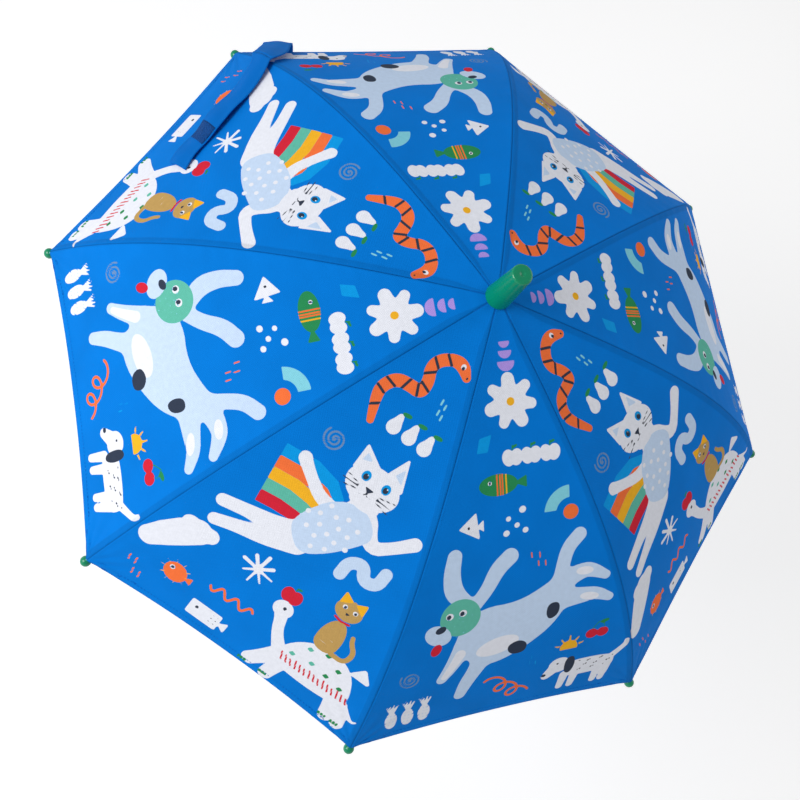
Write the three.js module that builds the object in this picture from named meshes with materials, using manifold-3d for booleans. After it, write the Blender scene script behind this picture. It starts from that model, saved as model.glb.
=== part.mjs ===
// A children's stick umbrella, open: eight ribs under a domed cloth canopy, a
// runner with eight stretchers on a steel shaft, a plastic ferrule above and a
// crook handle below. Millimetres, +Z up along the shaft. The pieces are built
// about the top of the canopy and then lifted, so that the origin is the
// middle of the straight grip.

import * as THREE from 'three';
import { mergeVertices } from 'three/addons/utils/BufferGeometryUtils.js';
import Module from 'manifold-3d';

const wasm = await Module();
wasm.setup();

// ---- Driving dimensions ---------------------------------------------------

// Canopy
const RIBS = 8;
const CANOPY_RADIUS = 345; // shaft to the end of the cloth's seams
const CANOPY_DEPTH = 180; // apex down to the rim
const DOME = [0.386, 0.152, 0.462]; // shares of the drop in r, r squared, r to the fourth
const CLOTH = 0.8; // thickness of the cloth solids
const HEM_DIP = 7; // how far the hem is pulled in between two tips
const CLOTH_HOLE = 7; // radius of the hole at the apex
const TIP_BALL = 9; // diameter
const STATIONS = 10; // steps along a rib and its seams

// Ribs and stretchers
const RIB_WIDTH = 2.6;
const RIB_HEIGHT = 2.8;
const RIB_WALL = 0.6;
const JOINT_RADIUS = 145; // where the stretchers meet the ribs, measured on the canopy
const JOINT_DROP = 4.4; // rib's centre line down to the joint's rivet
const STRETCHER_LENGTH = 170; // between its two pivots
const STRETCHER_ROD = 2.8;
const FORK_LENGTH = 28;
const EAR_THICKNESS = 1;
const EAR_HEIGHT = 4.2;
const PIN = 1.1; // rivet diameter
const CLOSING_ANGLE = 60; // degrees that a rib swings down to close

// Hubs
const RING_RADIUS = 9; // wire rings that carry the ribs and the stretchers
const WIRE = 1;
const EYE = 4.6; // diameter of the eye at a root
const EYE_HOLE = 2;
const CROWN_RADIUS = 12.4;
const CROWN_HEIGHT = 11;
const WASHER_RADIUS = 10;
const WASHER = 0.8;
const RUNNER_SLEEVE_RADIUS = 8.2;
const RUNNER_SLEEVE = 34;
const CATCH_REACH = 2.4; // how far a catch stands out of the shaft
const CATCH_THICKNESS = 1.6;
const CATCH_LENGTH = 18;
const CATCH_AZIMUTH = 22.5;

// Shaft, ferrule and handle
const SHAFT = 8; // diameter
const SHAFT_WALL = 0.8;
const SHAFT_IN_FERRULE = 30;
const FERRULE_BASE = 21;
const FERRULE_END = 16;
const FERRULE_HEIGHT = 47;
const HANDLE_TOP = 425; // apex down to the handle
const SHAFT_IN_HANDLE = 42;
const GRIP_LENGTH = 76;
const GRIP = 18; // diameter
const CROOK_RADIUS = 30; // centre line of the crook
const CROOK_END = 12; // straight end beyond the half turn
const COLLAR_HEIGHT = 7;

// Tie strap, laid across one panel beside its rib
const STRAP_PANEL = 5;
const STRAP_WIDTH = 23;
const STRAP_THICKNESS = 1;
const STRAP_LENGTH = 134;
const STRAP_START = 5; // from the seam
const STRAP_FROM_RIM = 50; // its centre line at the seam, along the cloth
const STRAP_SLANT = 8; // degrees
const STRAP_LIFT = 1.6; // crest of its waves above the cloth
const STRAP_WAVES = 3;
const PATCH_LENGTH = 26;
const PATCH_THICKNESS = 0.8;

// Clearances
const GAP = 0.3; // between touching pieces
const RUNNING = 0.35; // between moving pieces
const RIB_TO_CLOTH = 0.5;
const FORK_CLEARANCE = 0.5; // each side of a rib

// ---- Materials ------------------------------------------------------------

const material = (color, roughness, metalness) =>
  new THREE.MeshStandardMaterial({ color, roughness, metalness });
const GREEN_PLASTIC = material(0x0e915a, 0.35, 0);
const BLACK_PLASTIC = material(0x1b1d20, 0.5, 0);
const STEEL = material(0xb9bec4, 0.3, 1);
const BLUE_CLOTH = material(0x006fd0, 0.8, 0);
const HOOK_CLOTH = material(0x1f4f86, 0.95, 0);

// ---- Shapes of the canopy -------------------------------------------------

const radians = THREE.MathUtils.degToRad;
const STEP = (2 * Math.PI) / RIBS;

/** Depth of the canopy below its apex at radius r along a rib. */
function drop(r) {
  const t = r / CANOPY_RADIUS;
  return CANOPY_DEPTH * (DOME[0] * t + DOME[1] * t ** 2 + DOME[2] * t ** 4);
}

/** Slope of a rib at radius r, as an angle below horizontal. */
function slope(r) {
  const t = r / CANOPY_RADIUS;
  const rise = DOME[0] + 2 * DOME[1] * t + 4 * DOME[2] * t ** 3;
  return Math.atan((CANOPY_DEPTH / CANOPY_RADIUS) * rise);
}

/** A point (radius, height) near the canopy's seam, offset along the outward normal. */
function domePoint(r, offset) {
  const a = slope(r);
  return new THREE.Vector2(r + offset * Math.sin(a), -drop(r) + offset * Math.cos(a));
}

const CROWN_TOP = -drop(WASHER_RADIUS) - CLOTH - WASHER - 3 * GAP;
const CROWN_PIVOT = new THREE.Vector2(RING_RADIUS, CROWN_TOP - CROWN_HEIGHT / 2 + 1.4);
const RIB_OFFSET = -(CLOTH + RIB_TO_CLOTH + RIB_HEIGHT / 2);
const JOINT = domePoint(JOINT_RADIUS, RIB_OFFSET - JOINT_DROP);
const RIB_ROOT_RADIUS = CROWN_RADIUS * 2;
const TIP = domePoint(CANOPY_RADIUS, RIB_OFFSET);

/** Height of the runner's pivots that goes with a place of the rib's joint. */
function runnerHeight(joint) {
  const across = joint.x - RING_RADIUS;
  return joint.y - Math.sqrt(STRETCHER_LENGTH ** 2 - across ** 2);
}

const RUNNER_OPEN = runnerHeight(JOINT);
const JOINT_CLOSED = JOINT.clone().rotateAround(CROWN_PIVOT, -radians(CLOSING_ANGLE));
const RUNNER_CLOSED = runnerHeight(JOINT_CLOSED);

/** Radius of the k-th station along a rib. */
function stationRadius(k) {
  return RIB_ROOT_RADIUS + ((CANOPY_RADIUS - RIB_ROOT_RADIUS) * k) / STATIONS;
}

// ---- Solids ---------------------------------------------------------------

/** Geometry with only merged positions, turned into a solid. */
function solid(geometry) {
  const bare = geometry.index ? geometry.clone() : geometry;
  bare.deleteAttribute('normal');
  bare.deleteAttribute('uv');
  const merged = mergeVertices(bare, 1e-4);
  return new wasm.Manifold(
    new wasm.Mesh({
      numProp: 3,
      vertProperties: new Float32Array(merged.attributes.position.array),
      triVerts: new Uint32Array(merged.index.array),
    }),
  );
}

/** A solid turned back into geometry. */
function geometryOf(body) {
  const mesh = body.getMesh();
  const geometry = new THREE.BufferGeometry();
  geometry.setAttribute('position', new THREE.BufferAttribute(mesh.vertProperties, 3));
  geometry.setIndex(new THREE.BufferAttribute(mesh.triVerts, 1));
  geometry.computeVertexNormals();
  return geometry;
}

function box(x0, x1, y0, y1, z0, z1) {
  const geometry = new THREE.BoxGeometry(x1 - x0, y1 - y0, z1 - z0);
  return solid(geometry.translate((x0 + x1) / 2, (y0 + y1) / 2, (z0 + z1) / 2));
}

/** A cylinder along Y, for eyes, rivets and their holes. */
function crossCylinder(radius, length, x, z, sides = 12) {
  return solid(new THREE.CylinderGeometry(radius, radius, length, sides).translate(x, 0, z));
}

/** A solid of revolution about Z from (radius, height) points. */
function turned(points, sides = 28) {
  const profile = points.map(([r, z]) => new THREE.Vector2(r, z));
  return new THREE.LatheGeometry(profile, sides).rotateX(Math.PI / 2);
}

/** A tube about Z between two heights. */
function tube(inner, outer, z0, z1, sides = 28) {
  return turned([[inner, z0], [outer, z0], [outer, z1], [inner, z1], [inner, z0]], sides);
}

function aboutZ(body, angle) {
  return body.rotate([0, 0, THREE.MathUtils.radToDeg(angle)]);
}

/** A closed grid of 1 x 1 x 1 whose corners are moved to place(u, v, w), each 0 to 1. */
function mappedBox(across, along, place) {
  const geometry = new THREE.BoxGeometry(1, 1, 1, across, along, 1);
  const at = geometry.attributes.position;
  for (let i = 0; i < at.count; i++) {
    const p = place(at.getX(i) + 0.5, at.getY(i) + 0.5, at.getZ(i) + 0.5);
    at.setXYZ(i, p.x, p.y, p.z);
  }
  geometry.computeVertexNormals();
  return geometry;
}

// ---- The assembly ---------------------------------------------------------

const umbrella = new THREE.Group();
umbrella.position.z = HANDLE_TOP + GRIP_LENGTH / 2;

function add(name, geometry, look, azimuth = 0) {
  const mesh = new THREE.Mesh(geometry, look);
  mesh.name = name;
  mesh.rotation.z = azimuth;
  umbrella.add(mesh);
  return mesh;
}

// ---- Shaft and what is fixed on it ----------------------------------------

const SHAFT_BOTTOM = -HANDLE_TOP - SHAFT_IN_HANDLE;
const STOP_HEIGHT = RUNNER_OPEN + EYE / 2 + 1.5 + 3;
const TOP_CATCH = RUNNER_OPEN - EYE / 2 - 1.5 - RUNNER_SLEEVE - RUNNING;
const BOTTOM_CATCH = RUNNER_CLOSED - RUNNER_SLEEVE / 2;

/** Opening in the shaft's wall for a catch with its shoulder at height z. */
function catchSlot(z) {
  const half = CATCH_THICKNESS / 2 + GAP;
  const slot = box(0, SHAFT, -half, half, z - CATCH_LENGTH - 1, z + 1);
  return aboutZ(slot, radians(CATCH_AZIMUTH));
}

function makeShaft() {
  const wall = solid(tube(SHAFT / 2 - SHAFT_WALL, SHAFT / 2, SHAFT_BOTTOM, SHAFT_IN_FERRULE, 24));
  return geometryOf(
    wall
      .subtract(catchSlot(TOP_CATCH))
      .subtract(catchSlot(BOTTOM_CATCH))
      .subtract(crossCylinder(PIN + GAP, SHAFT * 2, 0, STOP_HEIGHT)),
  );
}

/** A wedge of spring steel: a flat shoulder on top and a long slope below. */
function makeCatch(z) {
  const inside = -SHAFT / 2 + SHAFT_WALL + CATCH_REACH + GAP;
  const out = SHAFT / 2 + CATCH_REACH;
  const outline = new THREE.Shape([
    new THREE.Vector2(inside, z),
    new THREE.Vector2(inside, z - CATCH_LENGTH),
    new THREE.Vector2(SHAFT / 2, z - CATCH_LENGTH),
    new THREE.Vector2(out, z - 3),
    new THREE.Vector2(out, z),
  ]);
  const plate = new THREE.ExtrudeGeometry(outline, {
    depth: CATCH_THICKNESS,
    bevelEnabled: false,
  });
  return plate.rotateX(Math.PI / 2).translate(0, CATCH_THICKNESS / 2, 0);
}

function makeFerrule() {
  const base = -drop(CLOTH_HOLE) + GAP;
  const bore = SHAFT / 2 + GAP;
  return turned([
    [0, SHAFT_IN_FERRULE + 1],
    [bore, SHAFT_IN_FERRULE + 1],
    [bore, base],
    [FERRULE_BASE / 2, base],
    [FERRULE_BASE / 2, base + 2.5],
    [FERRULE_BASE / 2 - 0.6, base + 3.5],
    [FERRULE_END / 2, FERRULE_HEIGHT - 2.5],
    [FERRULE_END / 2 - 0.7, FERRULE_HEIGHT - 0.7],
    [FERRULE_END / 2 - 2, FERRULE_HEIGHT],
    [1.6, FERRULE_HEIGHT],
    [0, FERRULE_HEIGHT - 1.2],
  ]);
}

/** The crook handle: a straight grip, a half turn and a short straight end. */
function makeHandle() {
  const path = new THREE.CurvePath();
  const low = -HANDLE_TOP - GRIP_LENGTH;
  const bend = CROOK_RADIUS * 0.5523;
  const at = (x, z) => new THREE.Vector3(x, 0, z);
  path.add(new THREE.LineCurve3(at(0, -HANDLE_TOP), at(0, low)));
  path.add(
    new THREE.CubicBezierCurve3(
      at(0, low),
      at(0, low - bend),
      at(CROOK_RADIUS - bend, low - CROOK_RADIUS),
      at(CROOK_RADIUS, low - CROOK_RADIUS),
    ),
  );
  path.add(
    new THREE.CubicBezierCurve3(
      at(CROOK_RADIUS, low - CROOK_RADIUS),
      at(CROOK_RADIUS + bend, low - CROOK_RADIUS),
      at(2 * CROOK_RADIUS, low - bend),
      at(2 * CROOK_RADIUS, low),
    ),
  );
  path.add(new THREE.LineCurve3(at(2 * CROOK_RADIUS, low), at(2 * CROOK_RADIUS, low + CROOK_END)));
  const section = new THREE.Shape().absarc(0, 0, GRIP / 2, 0, 2 * Math.PI);
  const crook = new THREE.ExtrudeGeometry(section, {
    steps: 26,
    curveSegments: 6,
    extrudePath: path,
    bevelEnabled: false,
  });
  const bore = new THREE.CylinderGeometry(SHAFT / 2 + GAP, SHAFT / 2 + GAP, 2 * SHAFT_IN_HANDLE + 2, 24)
    .rotateX(Math.PI / 2)
    .translate(0, 0, -HANDLE_TOP);
  return geometryOf(solid(crook).subtract(solid(bore)));
}

// ---- Hubs: crown and runner -----------------------------------------------

/** A slotted hub round the shaft, with its ring groove at the pivots' height. */
function slottedHub(top, bottom, pivot) {
  let hub = solid(tube(SHAFT / 2 + RUNNING, CROWN_RADIUS, bottom, top));
  const half = RIB_WIDTH / 2 + RUNNING;
  const inner = RING_RADIUS - EYE / 2 - RUNNING;
  for (let i = 0; i < RIBS; i++) {
    const slot = box(inner, CROWN_RADIUS + 1, -half, half, bottom - 1, top + 1);
    hub = hub.subtract(aboutZ(slot, i * STEP));
  }
  const groove = new THREE.TorusGeometry(RING_RADIUS, WIRE / 2 + RUNNING, 6, 24).translate(0, 0, pivot);
  return hub.subtract(solid(groove));
}

function ring(z) {
  return new THREE.TorusGeometry(RING_RADIUS, WIRE / 2, 5, 24).translate(0, 0, z);
}

function makeRunner() {
  const top = RUNNER_OPEN + EYE / 2 + 1.5;
  const bottom = RUNNER_OPEN - EYE / 2 - 1.5;
  const sleeve = solid(tube(SHAFT / 2 + RUNNING, RUNNER_SLEEVE_RADIUS, bottom - RUNNER_SLEEVE, bottom + 1));
  const half = CATCH_THICKNESS / 2 + RUNNING;
  const deep = SHAFT / 2 + CATCH_REACH + RUNNING;
  const keyway = box(0, deep, -half, half, bottom - RUNNER_SLEEVE - 1, top + 1);
  return geometryOf(
    slottedHub(top, bottom, RUNNER_OPEN)
      .add(sleeve)
      .subtract(aboutZ(keyway, radians(CATCH_AZIMUTH))),
  );
}

// ---- Ribs, tips, rivets and stretchers ------------------------------------

/** A channel, open below, bent to lie under the seam from the crown to the tip. */
function ribChannel() {
  const [w, h] = [RIB_WIDTH / 2, RIB_HEIGHT / 2];
  const outline = new THREE.Shape([
    new THREE.Vector2(-w, -h),
    new THREE.Vector2(-w + RIB_WALL, -h),
    new THREE.Vector2(-w + RIB_WALL, h - RIB_WALL),
    new THREE.Vector2(w - RIB_WALL, h - RIB_WALL),
    new THREE.Vector2(w - RIB_WALL, -h),
    new THREE.Vector2(w, -h),
    new THREE.Vector2(w, h),
    new THREE.Vector2(-w, h),
  ]);
  const steps = STATIONS + 1;
  const channel = new THREE.ExtrudeGeometry(outline, { depth: 1, steps, bevelEnabled: false });
  const at = channel.attributes.position;
  for (let i = 0; i < at.count; i++) {
    const k = Math.round(at.getZ(i) * steps) - 1;
    const r = k < 0 ? RING_RADIUS + EYE_HOLE / 2 + RIB_WALL : stationRadius(k);
    const p = k < 0 ? new THREE.Vector2(r, CROWN_PIVOT.y) : domePoint(r, RIB_OFFSET);
    const a = k < 0 ? 0 : slope(r);
    const up = at.getY(i);
    at.setXYZ(i, p.x + up * Math.sin(a), at.getX(i), p.y + up * Math.cos(a));
  }
  return solid(channel);
}

function makeRib() {
  const eye = crossCylinder(EYE / 2, RIB_WIDTH, CROWN_PIVOT.x, CROWN_PIVOT.y);
  const eyeHole = crossCylinder(EYE_HOLE / 2, RIB_WIDTH * 2, CROWN_PIVOT.x, CROWN_PIVOT.y, 8);
  const a = slope(JOINT_RADIUS);
  const lug = box(-4, 4, -RIB_WIDTH / 2, RIB_WIDTH / 2, 0, JOINT_DROP)
    .rotate([0, THREE.MathUtils.radToDeg(a), 0])
    .translate([JOINT.x, 0, JOINT.y]);
  const lugEnd = crossCylinder(4, RIB_WIDTH, JOINT.x, JOINT.y);
  const lugHole = crossCylinder(PIN / 2 + RUNNING, RIB_WIDTH * 2, JOINT.x, JOINT.y, 8);
  return geometryOf(
    ribChannel().add(eye).add(lug).add(lugEnd).subtract(eyeHole).subtract(lugHole),
  );
}

function makeRibPin() {
  const length = RIB_WIDTH + 2 * (FORK_CLEARANCE - GAP);
  return new THREE.CylinderGeometry(PIN / 2, PIN / 2, length, 8).translate(JOINT.x, 0, JOINT.y);
}

/** A ball with a socket for the rib's end. */
function makeTip() {
  const a = slope(CANOPY_RADIUS);
  const half = RIB_WIDTH / 2 + GAP;
  const high = RIB_HEIGHT / 2 + GAP;
  const ball = solid(new THREE.SphereGeometry(TIP_BALL / 2, 10, 6));
  const socket = box(-TIP_BALL, GAP, -half, half, -high, high);
  return geometryOf(
    ball
      .subtract(socket)
      .rotate([0, THREE.MathUtils.radToDeg(a), 0])
      .translate([TIP.x, 0, TIP.y]),
  );
}

/** Along X from the runner's ring to the rivet: an eye, a rod, a bridge and two ears. */
function makeStretcher() {
  const inner = RIB_WIDTH / 2 + FORK_CLEARANCE;
  const outer = inner + EAR_THICKNESS;
  const fork = STRETCHER_LENGTH - FORK_LENGTH;
  const half = EAR_HEIGHT / 2;
  const rod = solid(
    new THREE.CylinderGeometry(STRETCHER_ROD / 2, STRETCHER_ROD / 2, fork - 1, 8)
      .rotateZ(-Math.PI / 2)
      .translate((fork + 3) / 2, 0, 0),
  );
  const bridge = box(fork, fork + 4, -outer, outer, -half, half);
  let body = rod.add(bridge).add(crossCylinder(EYE / 2, RIB_WIDTH, 0, 0));
  for (const side of [-1, 1]) {
    const near = side > 0 ? inner : -outer;
    const ear = box(fork, STRETCHER_LENGTH, near, near + EAR_THICKNESS, -half, half);
    const round = crossCylinder(half, EAR_THICKNESS, STRETCHER_LENGTH, 0, 12);
    const middle = (side * (inner + outer)) / 2;
    body = body.add(ear).add(round.translate([0, middle, 0]));
  }
  const earHole = crossCylinder(PIN / 2 + RUNNING, 4 * outer, STRETCHER_LENGTH, 0, 8);
  const eyeHole = crossCylinder(EYE_HOLE / 2, 2 * RIB_WIDTH, 0, 0, 8);
  const raise = Math.atan2(JOINT.y - RUNNER_OPEN, JOINT.x - RING_RADIUS);
  return geometryOf(
    body
      .subtract(earHole)
      .subtract(eyeHole)
      .rotate([0, -THREE.MathUtils.radToDeg(raise), 0])
      .translate([RING_RADIUS, 0, RUNNER_OPEN]),
  );
}

// ---- Canopy ---------------------------------------------------------------

/** Radius at which a panel's k-th row meets its seams, from the hole to the rim. */
function rowRadius(k) {
  if (k === 0) return CLOTH_HOLE;
  if (k === STATIONS) return CANOPY_RADIUS - (TIP_BALL / 2 + GAP) * Math.cos(slope(CANOPY_RADIUS));
  return stationRadius(k);
}

/**
 * A point of a panel whose middle lies along +X: r is the seam's radius in that
 * row, across runs from -1 at one seam to 1 at the other, lift is above the
 * outer face. Each row is straight between its two seams.
 */
function panelPoint(r, across, lift) {
  const half = STEP / 2;
  const seam = domePoint(r, lift);
  const side = across * (seam.x * Math.sin(half) - (GAP / 2) / Math.cos(half));
  return new THREE.Vector3(seam.x * Math.cos(half), side, seam.y);
}

function makeGore() {
  return mappedBox(4, STATIONS, (u, v, w) => {
    const across = 2 * u - 1;
    const row = Math.round((1 - v) * STATIONS);
    const r = rowRadius(row);
    const dip = row === 0 ? 0 : HEM_DIP * (1 - across ** 2) * (r / CANOPY_RADIUS) ** 3;
    return panelPoint(r - dip, across, (w - 1) * CLOTH);
  });
}

/** A point over the strap's panel: along and across the strap, height above the cloth. */
function strapPoint(along, across, height) {
  const slant = radians(STRAP_SLANT);
  const rimGap = STRAP_FROM_RIM + along * Math.sin(slant) - across * Math.cos(slant);
  const r = CANOPY_RADIUS - rimGap * Math.cos(slope(CANOPY_RADIUS - rimGap / 2));
  const half = r * Math.sin(STEP / 2);
  const side = -half + STRAP_START + along * Math.cos(slant) + across * Math.sin(slant);
  return panelPoint(r, side / half, height);
}

/** Height of the strap's underside, from its sewn end to its free end. */
function strapHeight(share) {
  return GAP + 0.3 + STRAP_LIFT * Math.sin(STRAP_WAVES * Math.PI * share) ** 2;
}

function makeStrap() {
  return mappedBox(2, 15, (u, v, w) => {
    const across = (u - 0.5) * STRAP_WIDTH;
    return strapPoint(v * STRAP_LENGTH, across, strapHeight(v) + w * STRAP_THICKNESS);
  });
}

/** Hook tape near the strap's free end. */
function makeStrapPatch() {
  const start = STRAP_LENGTH * 0.62;
  return mappedBox(2, 6, (u, v, w) => {
    const along = start + v * PATCH_LENGTH;
    const across = (u - 0.5) * (STRAP_WIDTH - 6);
    const under = strapHeight(along / STRAP_LENGTH) + STRAP_THICKNESS + GAP + 0.2;
    return strapPoint(along, across, under + w * PATCH_THICKNESS);
  });
}

// ---- Placing --------------------------------------------------------------

add('shaft', makeShaft(), STEEL);
add('ferrule', makeFerrule(), GREEN_PLASTIC);
add('top_washer', tube(SHAFT / 2 + GAP, WASHER_RADIUS, CROWN_TOP + GAP, CROWN_TOP + GAP + WASHER), STEEL);
add('crown', geometryOf(slottedHub(CROWN_TOP, CROWN_TOP - CROWN_HEIGHT, CROWN_PIVOT.y)), BLACK_PLASTIC);
add('crown_wire', ring(CROWN_PIVOT.y), STEEL);
add('runner', makeRunner(), BLACK_PLASTIC);
add('runner_wire', ring(RUNNER_OPEN), STEEL);
add('top_catch', makeCatch(TOP_CATCH), STEEL, radians(CATCH_AZIMUTH));
add('bottom_catch', makeCatch(BOTTOM_CATCH), STEEL, radians(CATCH_AZIMUTH));
add(
  'stop_pin',
  new THREE.CylinderGeometry(PIN, PIN, SHAFT + 3, 12).translate(0, 0, STOP_HEIGHT),
  STEEL,
);
add(
  'handle_collar',
  tube(SHAFT / 2 + GAP, GRIP / 2 + 1.2, -HANDLE_TOP + GAP, -HANDLE_TOP + GAP + COLLAR_HEIGHT),
  BLACK_PLASTIC,
);
add('handle', makeHandle(), GREEN_PLASTIC);

for (let i = 0; i < RIBS; i++) {
  const azimuth = i * STEP;
  const middle = azimuth + STEP / 2;
  add(`rib_${i + 1}`, makeRib(), STEEL, azimuth);
  add(`rib_pin_${i + 1}`, makeRibPin(), STEEL, azimuth);
  add(`tip_${i + 1}`, makeTip(), GREEN_PLASTIC, azimuth);
  add(`stretcher_${i + 1}`, makeStretcher(), STEEL, azimuth);
  add(`gore_${i + 1}`, makeGore(), BLUE_CLOTH, middle);
}

const strapAzimuth = (STRAP_PANEL - 0.5) * STEP;
add('tie_strap', makeStrap(), BLUE_CLOTH, strapAzimuth);
add('strap_patch', makeStrapPatch(), HOOK_CLOTH, strapAzimuth);

export default umbrella;
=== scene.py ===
# %% [markdown]
# A children's umbrella, open. The steel frame and every moving part come from the
# packed design, and this file gives the umbrella its cloth, its print and its
# finishes. Everything is in metres, with the origin in the middle of the grip.

# %% Load the frame
import math

import bmesh
import bpy
import numpy as np
from mathutils import Matrix, Vector


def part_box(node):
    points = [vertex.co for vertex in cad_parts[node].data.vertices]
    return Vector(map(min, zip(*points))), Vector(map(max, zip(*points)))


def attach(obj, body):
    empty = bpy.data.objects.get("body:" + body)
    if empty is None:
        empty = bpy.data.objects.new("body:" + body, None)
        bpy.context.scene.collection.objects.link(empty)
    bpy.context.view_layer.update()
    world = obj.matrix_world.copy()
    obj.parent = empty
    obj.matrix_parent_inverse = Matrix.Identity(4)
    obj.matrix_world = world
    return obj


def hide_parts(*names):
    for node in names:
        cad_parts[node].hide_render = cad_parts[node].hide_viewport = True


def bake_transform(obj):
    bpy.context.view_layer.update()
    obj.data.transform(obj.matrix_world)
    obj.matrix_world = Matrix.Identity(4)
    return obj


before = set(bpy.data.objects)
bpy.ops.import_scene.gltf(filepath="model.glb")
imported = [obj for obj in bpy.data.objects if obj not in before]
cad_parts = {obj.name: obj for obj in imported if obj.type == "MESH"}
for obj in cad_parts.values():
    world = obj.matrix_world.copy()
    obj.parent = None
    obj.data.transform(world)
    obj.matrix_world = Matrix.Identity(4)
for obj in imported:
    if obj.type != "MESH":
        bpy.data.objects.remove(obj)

MM = 0.001
RIBS = 8
STEP = 2 * math.pi / RIBS
HALF = STEP / 2

FERRULE_ABOVE_CLOTH = 47 * MM

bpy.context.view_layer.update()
ferrule_low, ferrule_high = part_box("ferrule")
handle_low, handle_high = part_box("handle")
APEX = ferrule_high[2] - FERRULE_ABOVE_CLOTH
print("the apex of the cloth is", round(APEX, 4), "m above the grip's middle")

# %% [markdown]
# An object looks natural when the camera stands where a person would. This one
# looks down on the canopy from in front, tilted about twenty degrees from the
# shaft, through a lens a little shorter than normal. Its matrix is built from the
# three directions right, up and backwards.

# %% Camera
RADIUS = 345 * MM
DEPTH = 180 * MM
CAMERA_PLACE = Vector((0.19667, -0.98662, 1.81443)) * RADIUS + Vector((0, 0, APEX))
CAMERA_RIGHT = Vector((0.52828, 0.80693, 0.26419))
CAMERA_UP = Vector((-0.84708, 0.47953, 0.22918))

camera = bpy.data.objects.new("camera", bpy.data.cameras.new("camera"))
bpy.context.collection.objects.link(camera)
turn = Matrix((CAMERA_RIGHT, CAMERA_UP, CAMERA_RIGHT.cross(CAMERA_UP))).transposed()
camera.matrix_world = Matrix.Translation(CAMERA_PLACE) @ turn.to_4x4()
camera.data.sensor_width = 36
camera.data.lens = 42.77
camera.data.clip_start = 0.01
bpy.context.scene.camera = camera
tilt = math.degrees(math.acos(CAMERA_RIGHT.cross(CAMERA_UP).z))
print("the camera looks down", round(tilt), "degrees off the shaft")

# %% [markdown]
# Soft studio light: a bright pale room, one large lamp high on the side of the
# lightest panels, and a weak one opposite so that the far panels stay readable.
# Area lamps give soft edges, and a colour close to white keeps the dye true.

# %% Lights
def lamp(name, place, target, size, power):
    """A square area lamp at place that faces target."""
    light = bpy.data.lights.new(name, "AREA")
    light.size = size
    light.energy = power
    obj = bpy.data.objects.new(name, light)
    bpy.context.collection.objects.link(obj)
    aim = (Vector(target) - Vector(place)).to_track_quat("-Z", "Y")
    obj.matrix_world = Matrix.Translation(place) @ aim.to_matrix().to_4x4()


middle = (0, 0, APEX - DEPTH / 2)
lamp("key", (-0.64, -1.3, APEX + 0.9), middle, 0.9, 22.5)
lamp("fill", (0.5, 1.7, APEX + 0.9), middle, 1.4, 9)
bpy.context.scene.view_settings.view_transform = "Standard"

# %% [markdown]
# Every material below is a Principled BSDF with a few nodes in front of it. Three
# small functions do the work: one turns a paint-chart colour such as "0072D2"
# into the linear values that Blender computes with, one adds a node with its
# settings and links, and one starts a named material.

# %% Material helpers
def linear(code):
    """The linear RGBA of an sRGB hex colour."""
    parts = [int(code[i : i + 2], 16) / 255 for i in (0, 2, 4)]
    curve = [c / 12.92 if c <= 0.04045 else ((c + 0.055) / 1.055) ** 2.4 for c in parts]
    return (*curve, 1.0)


def node(tree, kind, inputs=None, **settings):
    """Adds a node. inputs gives values, or sockets to link, by name or number."""
    new = tree.nodes.new(kind)
    for key, value in settings.items():
        setattr(new, key, value)
    for key, value in (inputs or {}).items():
        if isinstance(value, bpy.types.NodeSocket):
            tree.links.new(value, new.inputs[key])
        else:
            new.inputs[key].default_value = value
    return new


def material(name, colour, roughness, **inputs):
    """A named Principled material, with its tree and shader."""
    made = bpy.data.materials.new(name)
    made.use_nodes = True
    shader = made.node_tree.nodes["Principled BSDF"]
    shader.inputs["Base Color"].default_value = linear(colour)
    shader.inputs["Roughness"].default_value = roughness
    for key, value in inputs.items():
        shader.inputs[key.replace("_", " ")].default_value = value
    return made, made.node_tree, shader


# %% [markdown]
# The room is bright near the horizon, like the white walls of a studio, and
# dimmer overhead, so that the lamps can model the panels.

# %% Room
world = bpy.data.worlds.new("white studio room")
world.use_nodes = True
room = world.node_tree
backdrop = room.nodes["Background"]
gaze = node(room, "ShaderNodeTexCoord")
rise = node(room, "ShaderNodeSeparateXYZ", {0: gaze.outputs["Generated"]})
brightness = node(room, "ShaderNodeMapRange", {0: rise.outputs["Z"], 1: 0.0, 2: 0.5, 3: 0.85, 4: 0.3})
room.links.new(brightness.outputs[0], backdrop.inputs["Strength"])
backdrop.inputs["Color"].default_value = (1, 1, 1, 1)
bpy.context.scene.world = world

# %% [markdown]
# The pale floor is a big plane far below, so its shadow is soft. It is staged,
# which means that it isn't part of the umbrella.

# %% Floor
FLOOR = handle_low[2] - 450 * MM
FLOOR_SIZE = 60

bpy.ops.mesh.primitive_plane_add(size=FLOOR_SIZE, location=(0, 0, FLOOR))
floor = bpy.context.object
floor.name = "floor"
floor_paint, _, floor_shader = material("matt white backdrop paper, lit from behind", "FFFFFF", 0.9)
floor_shader.inputs["Emission Color"].default_value = (1, 1, 1, 1)
floor_shader.inputs["Emission Strength"].default_value = 0.35
floor.data.materials.append(floor_paint)

# %% [markdown]
# The canopy is sewn from eight flat triangles of cloth, pulled tight between
# curved ribs. Between two ribs each row of cloth is straight, so the panel bends
# in one direction only and unrolls flat. That gives it a natural pair of
# coordinates in millimetres: `across`, from the panel's middle line, and `along`,
# from the apex down the cloth. Everything printed or sewn is placed in these.

# %% The dome and its unrolled panels
DOME = (0.386, 0.152, 0.462)
HOLE = 7 * MM
BALL_R = 4.5 * MM
TABLE = np.linspace(0, 1.1 * RADIUS, 1100)


def drop(r):
    """How far the seam lies below the apex at radius r."""
    t = r / RADIUS
    return DEPTH * (DOME[0] * t + DOME[1] * t**2 + DOME[2] * t**4)


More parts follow.
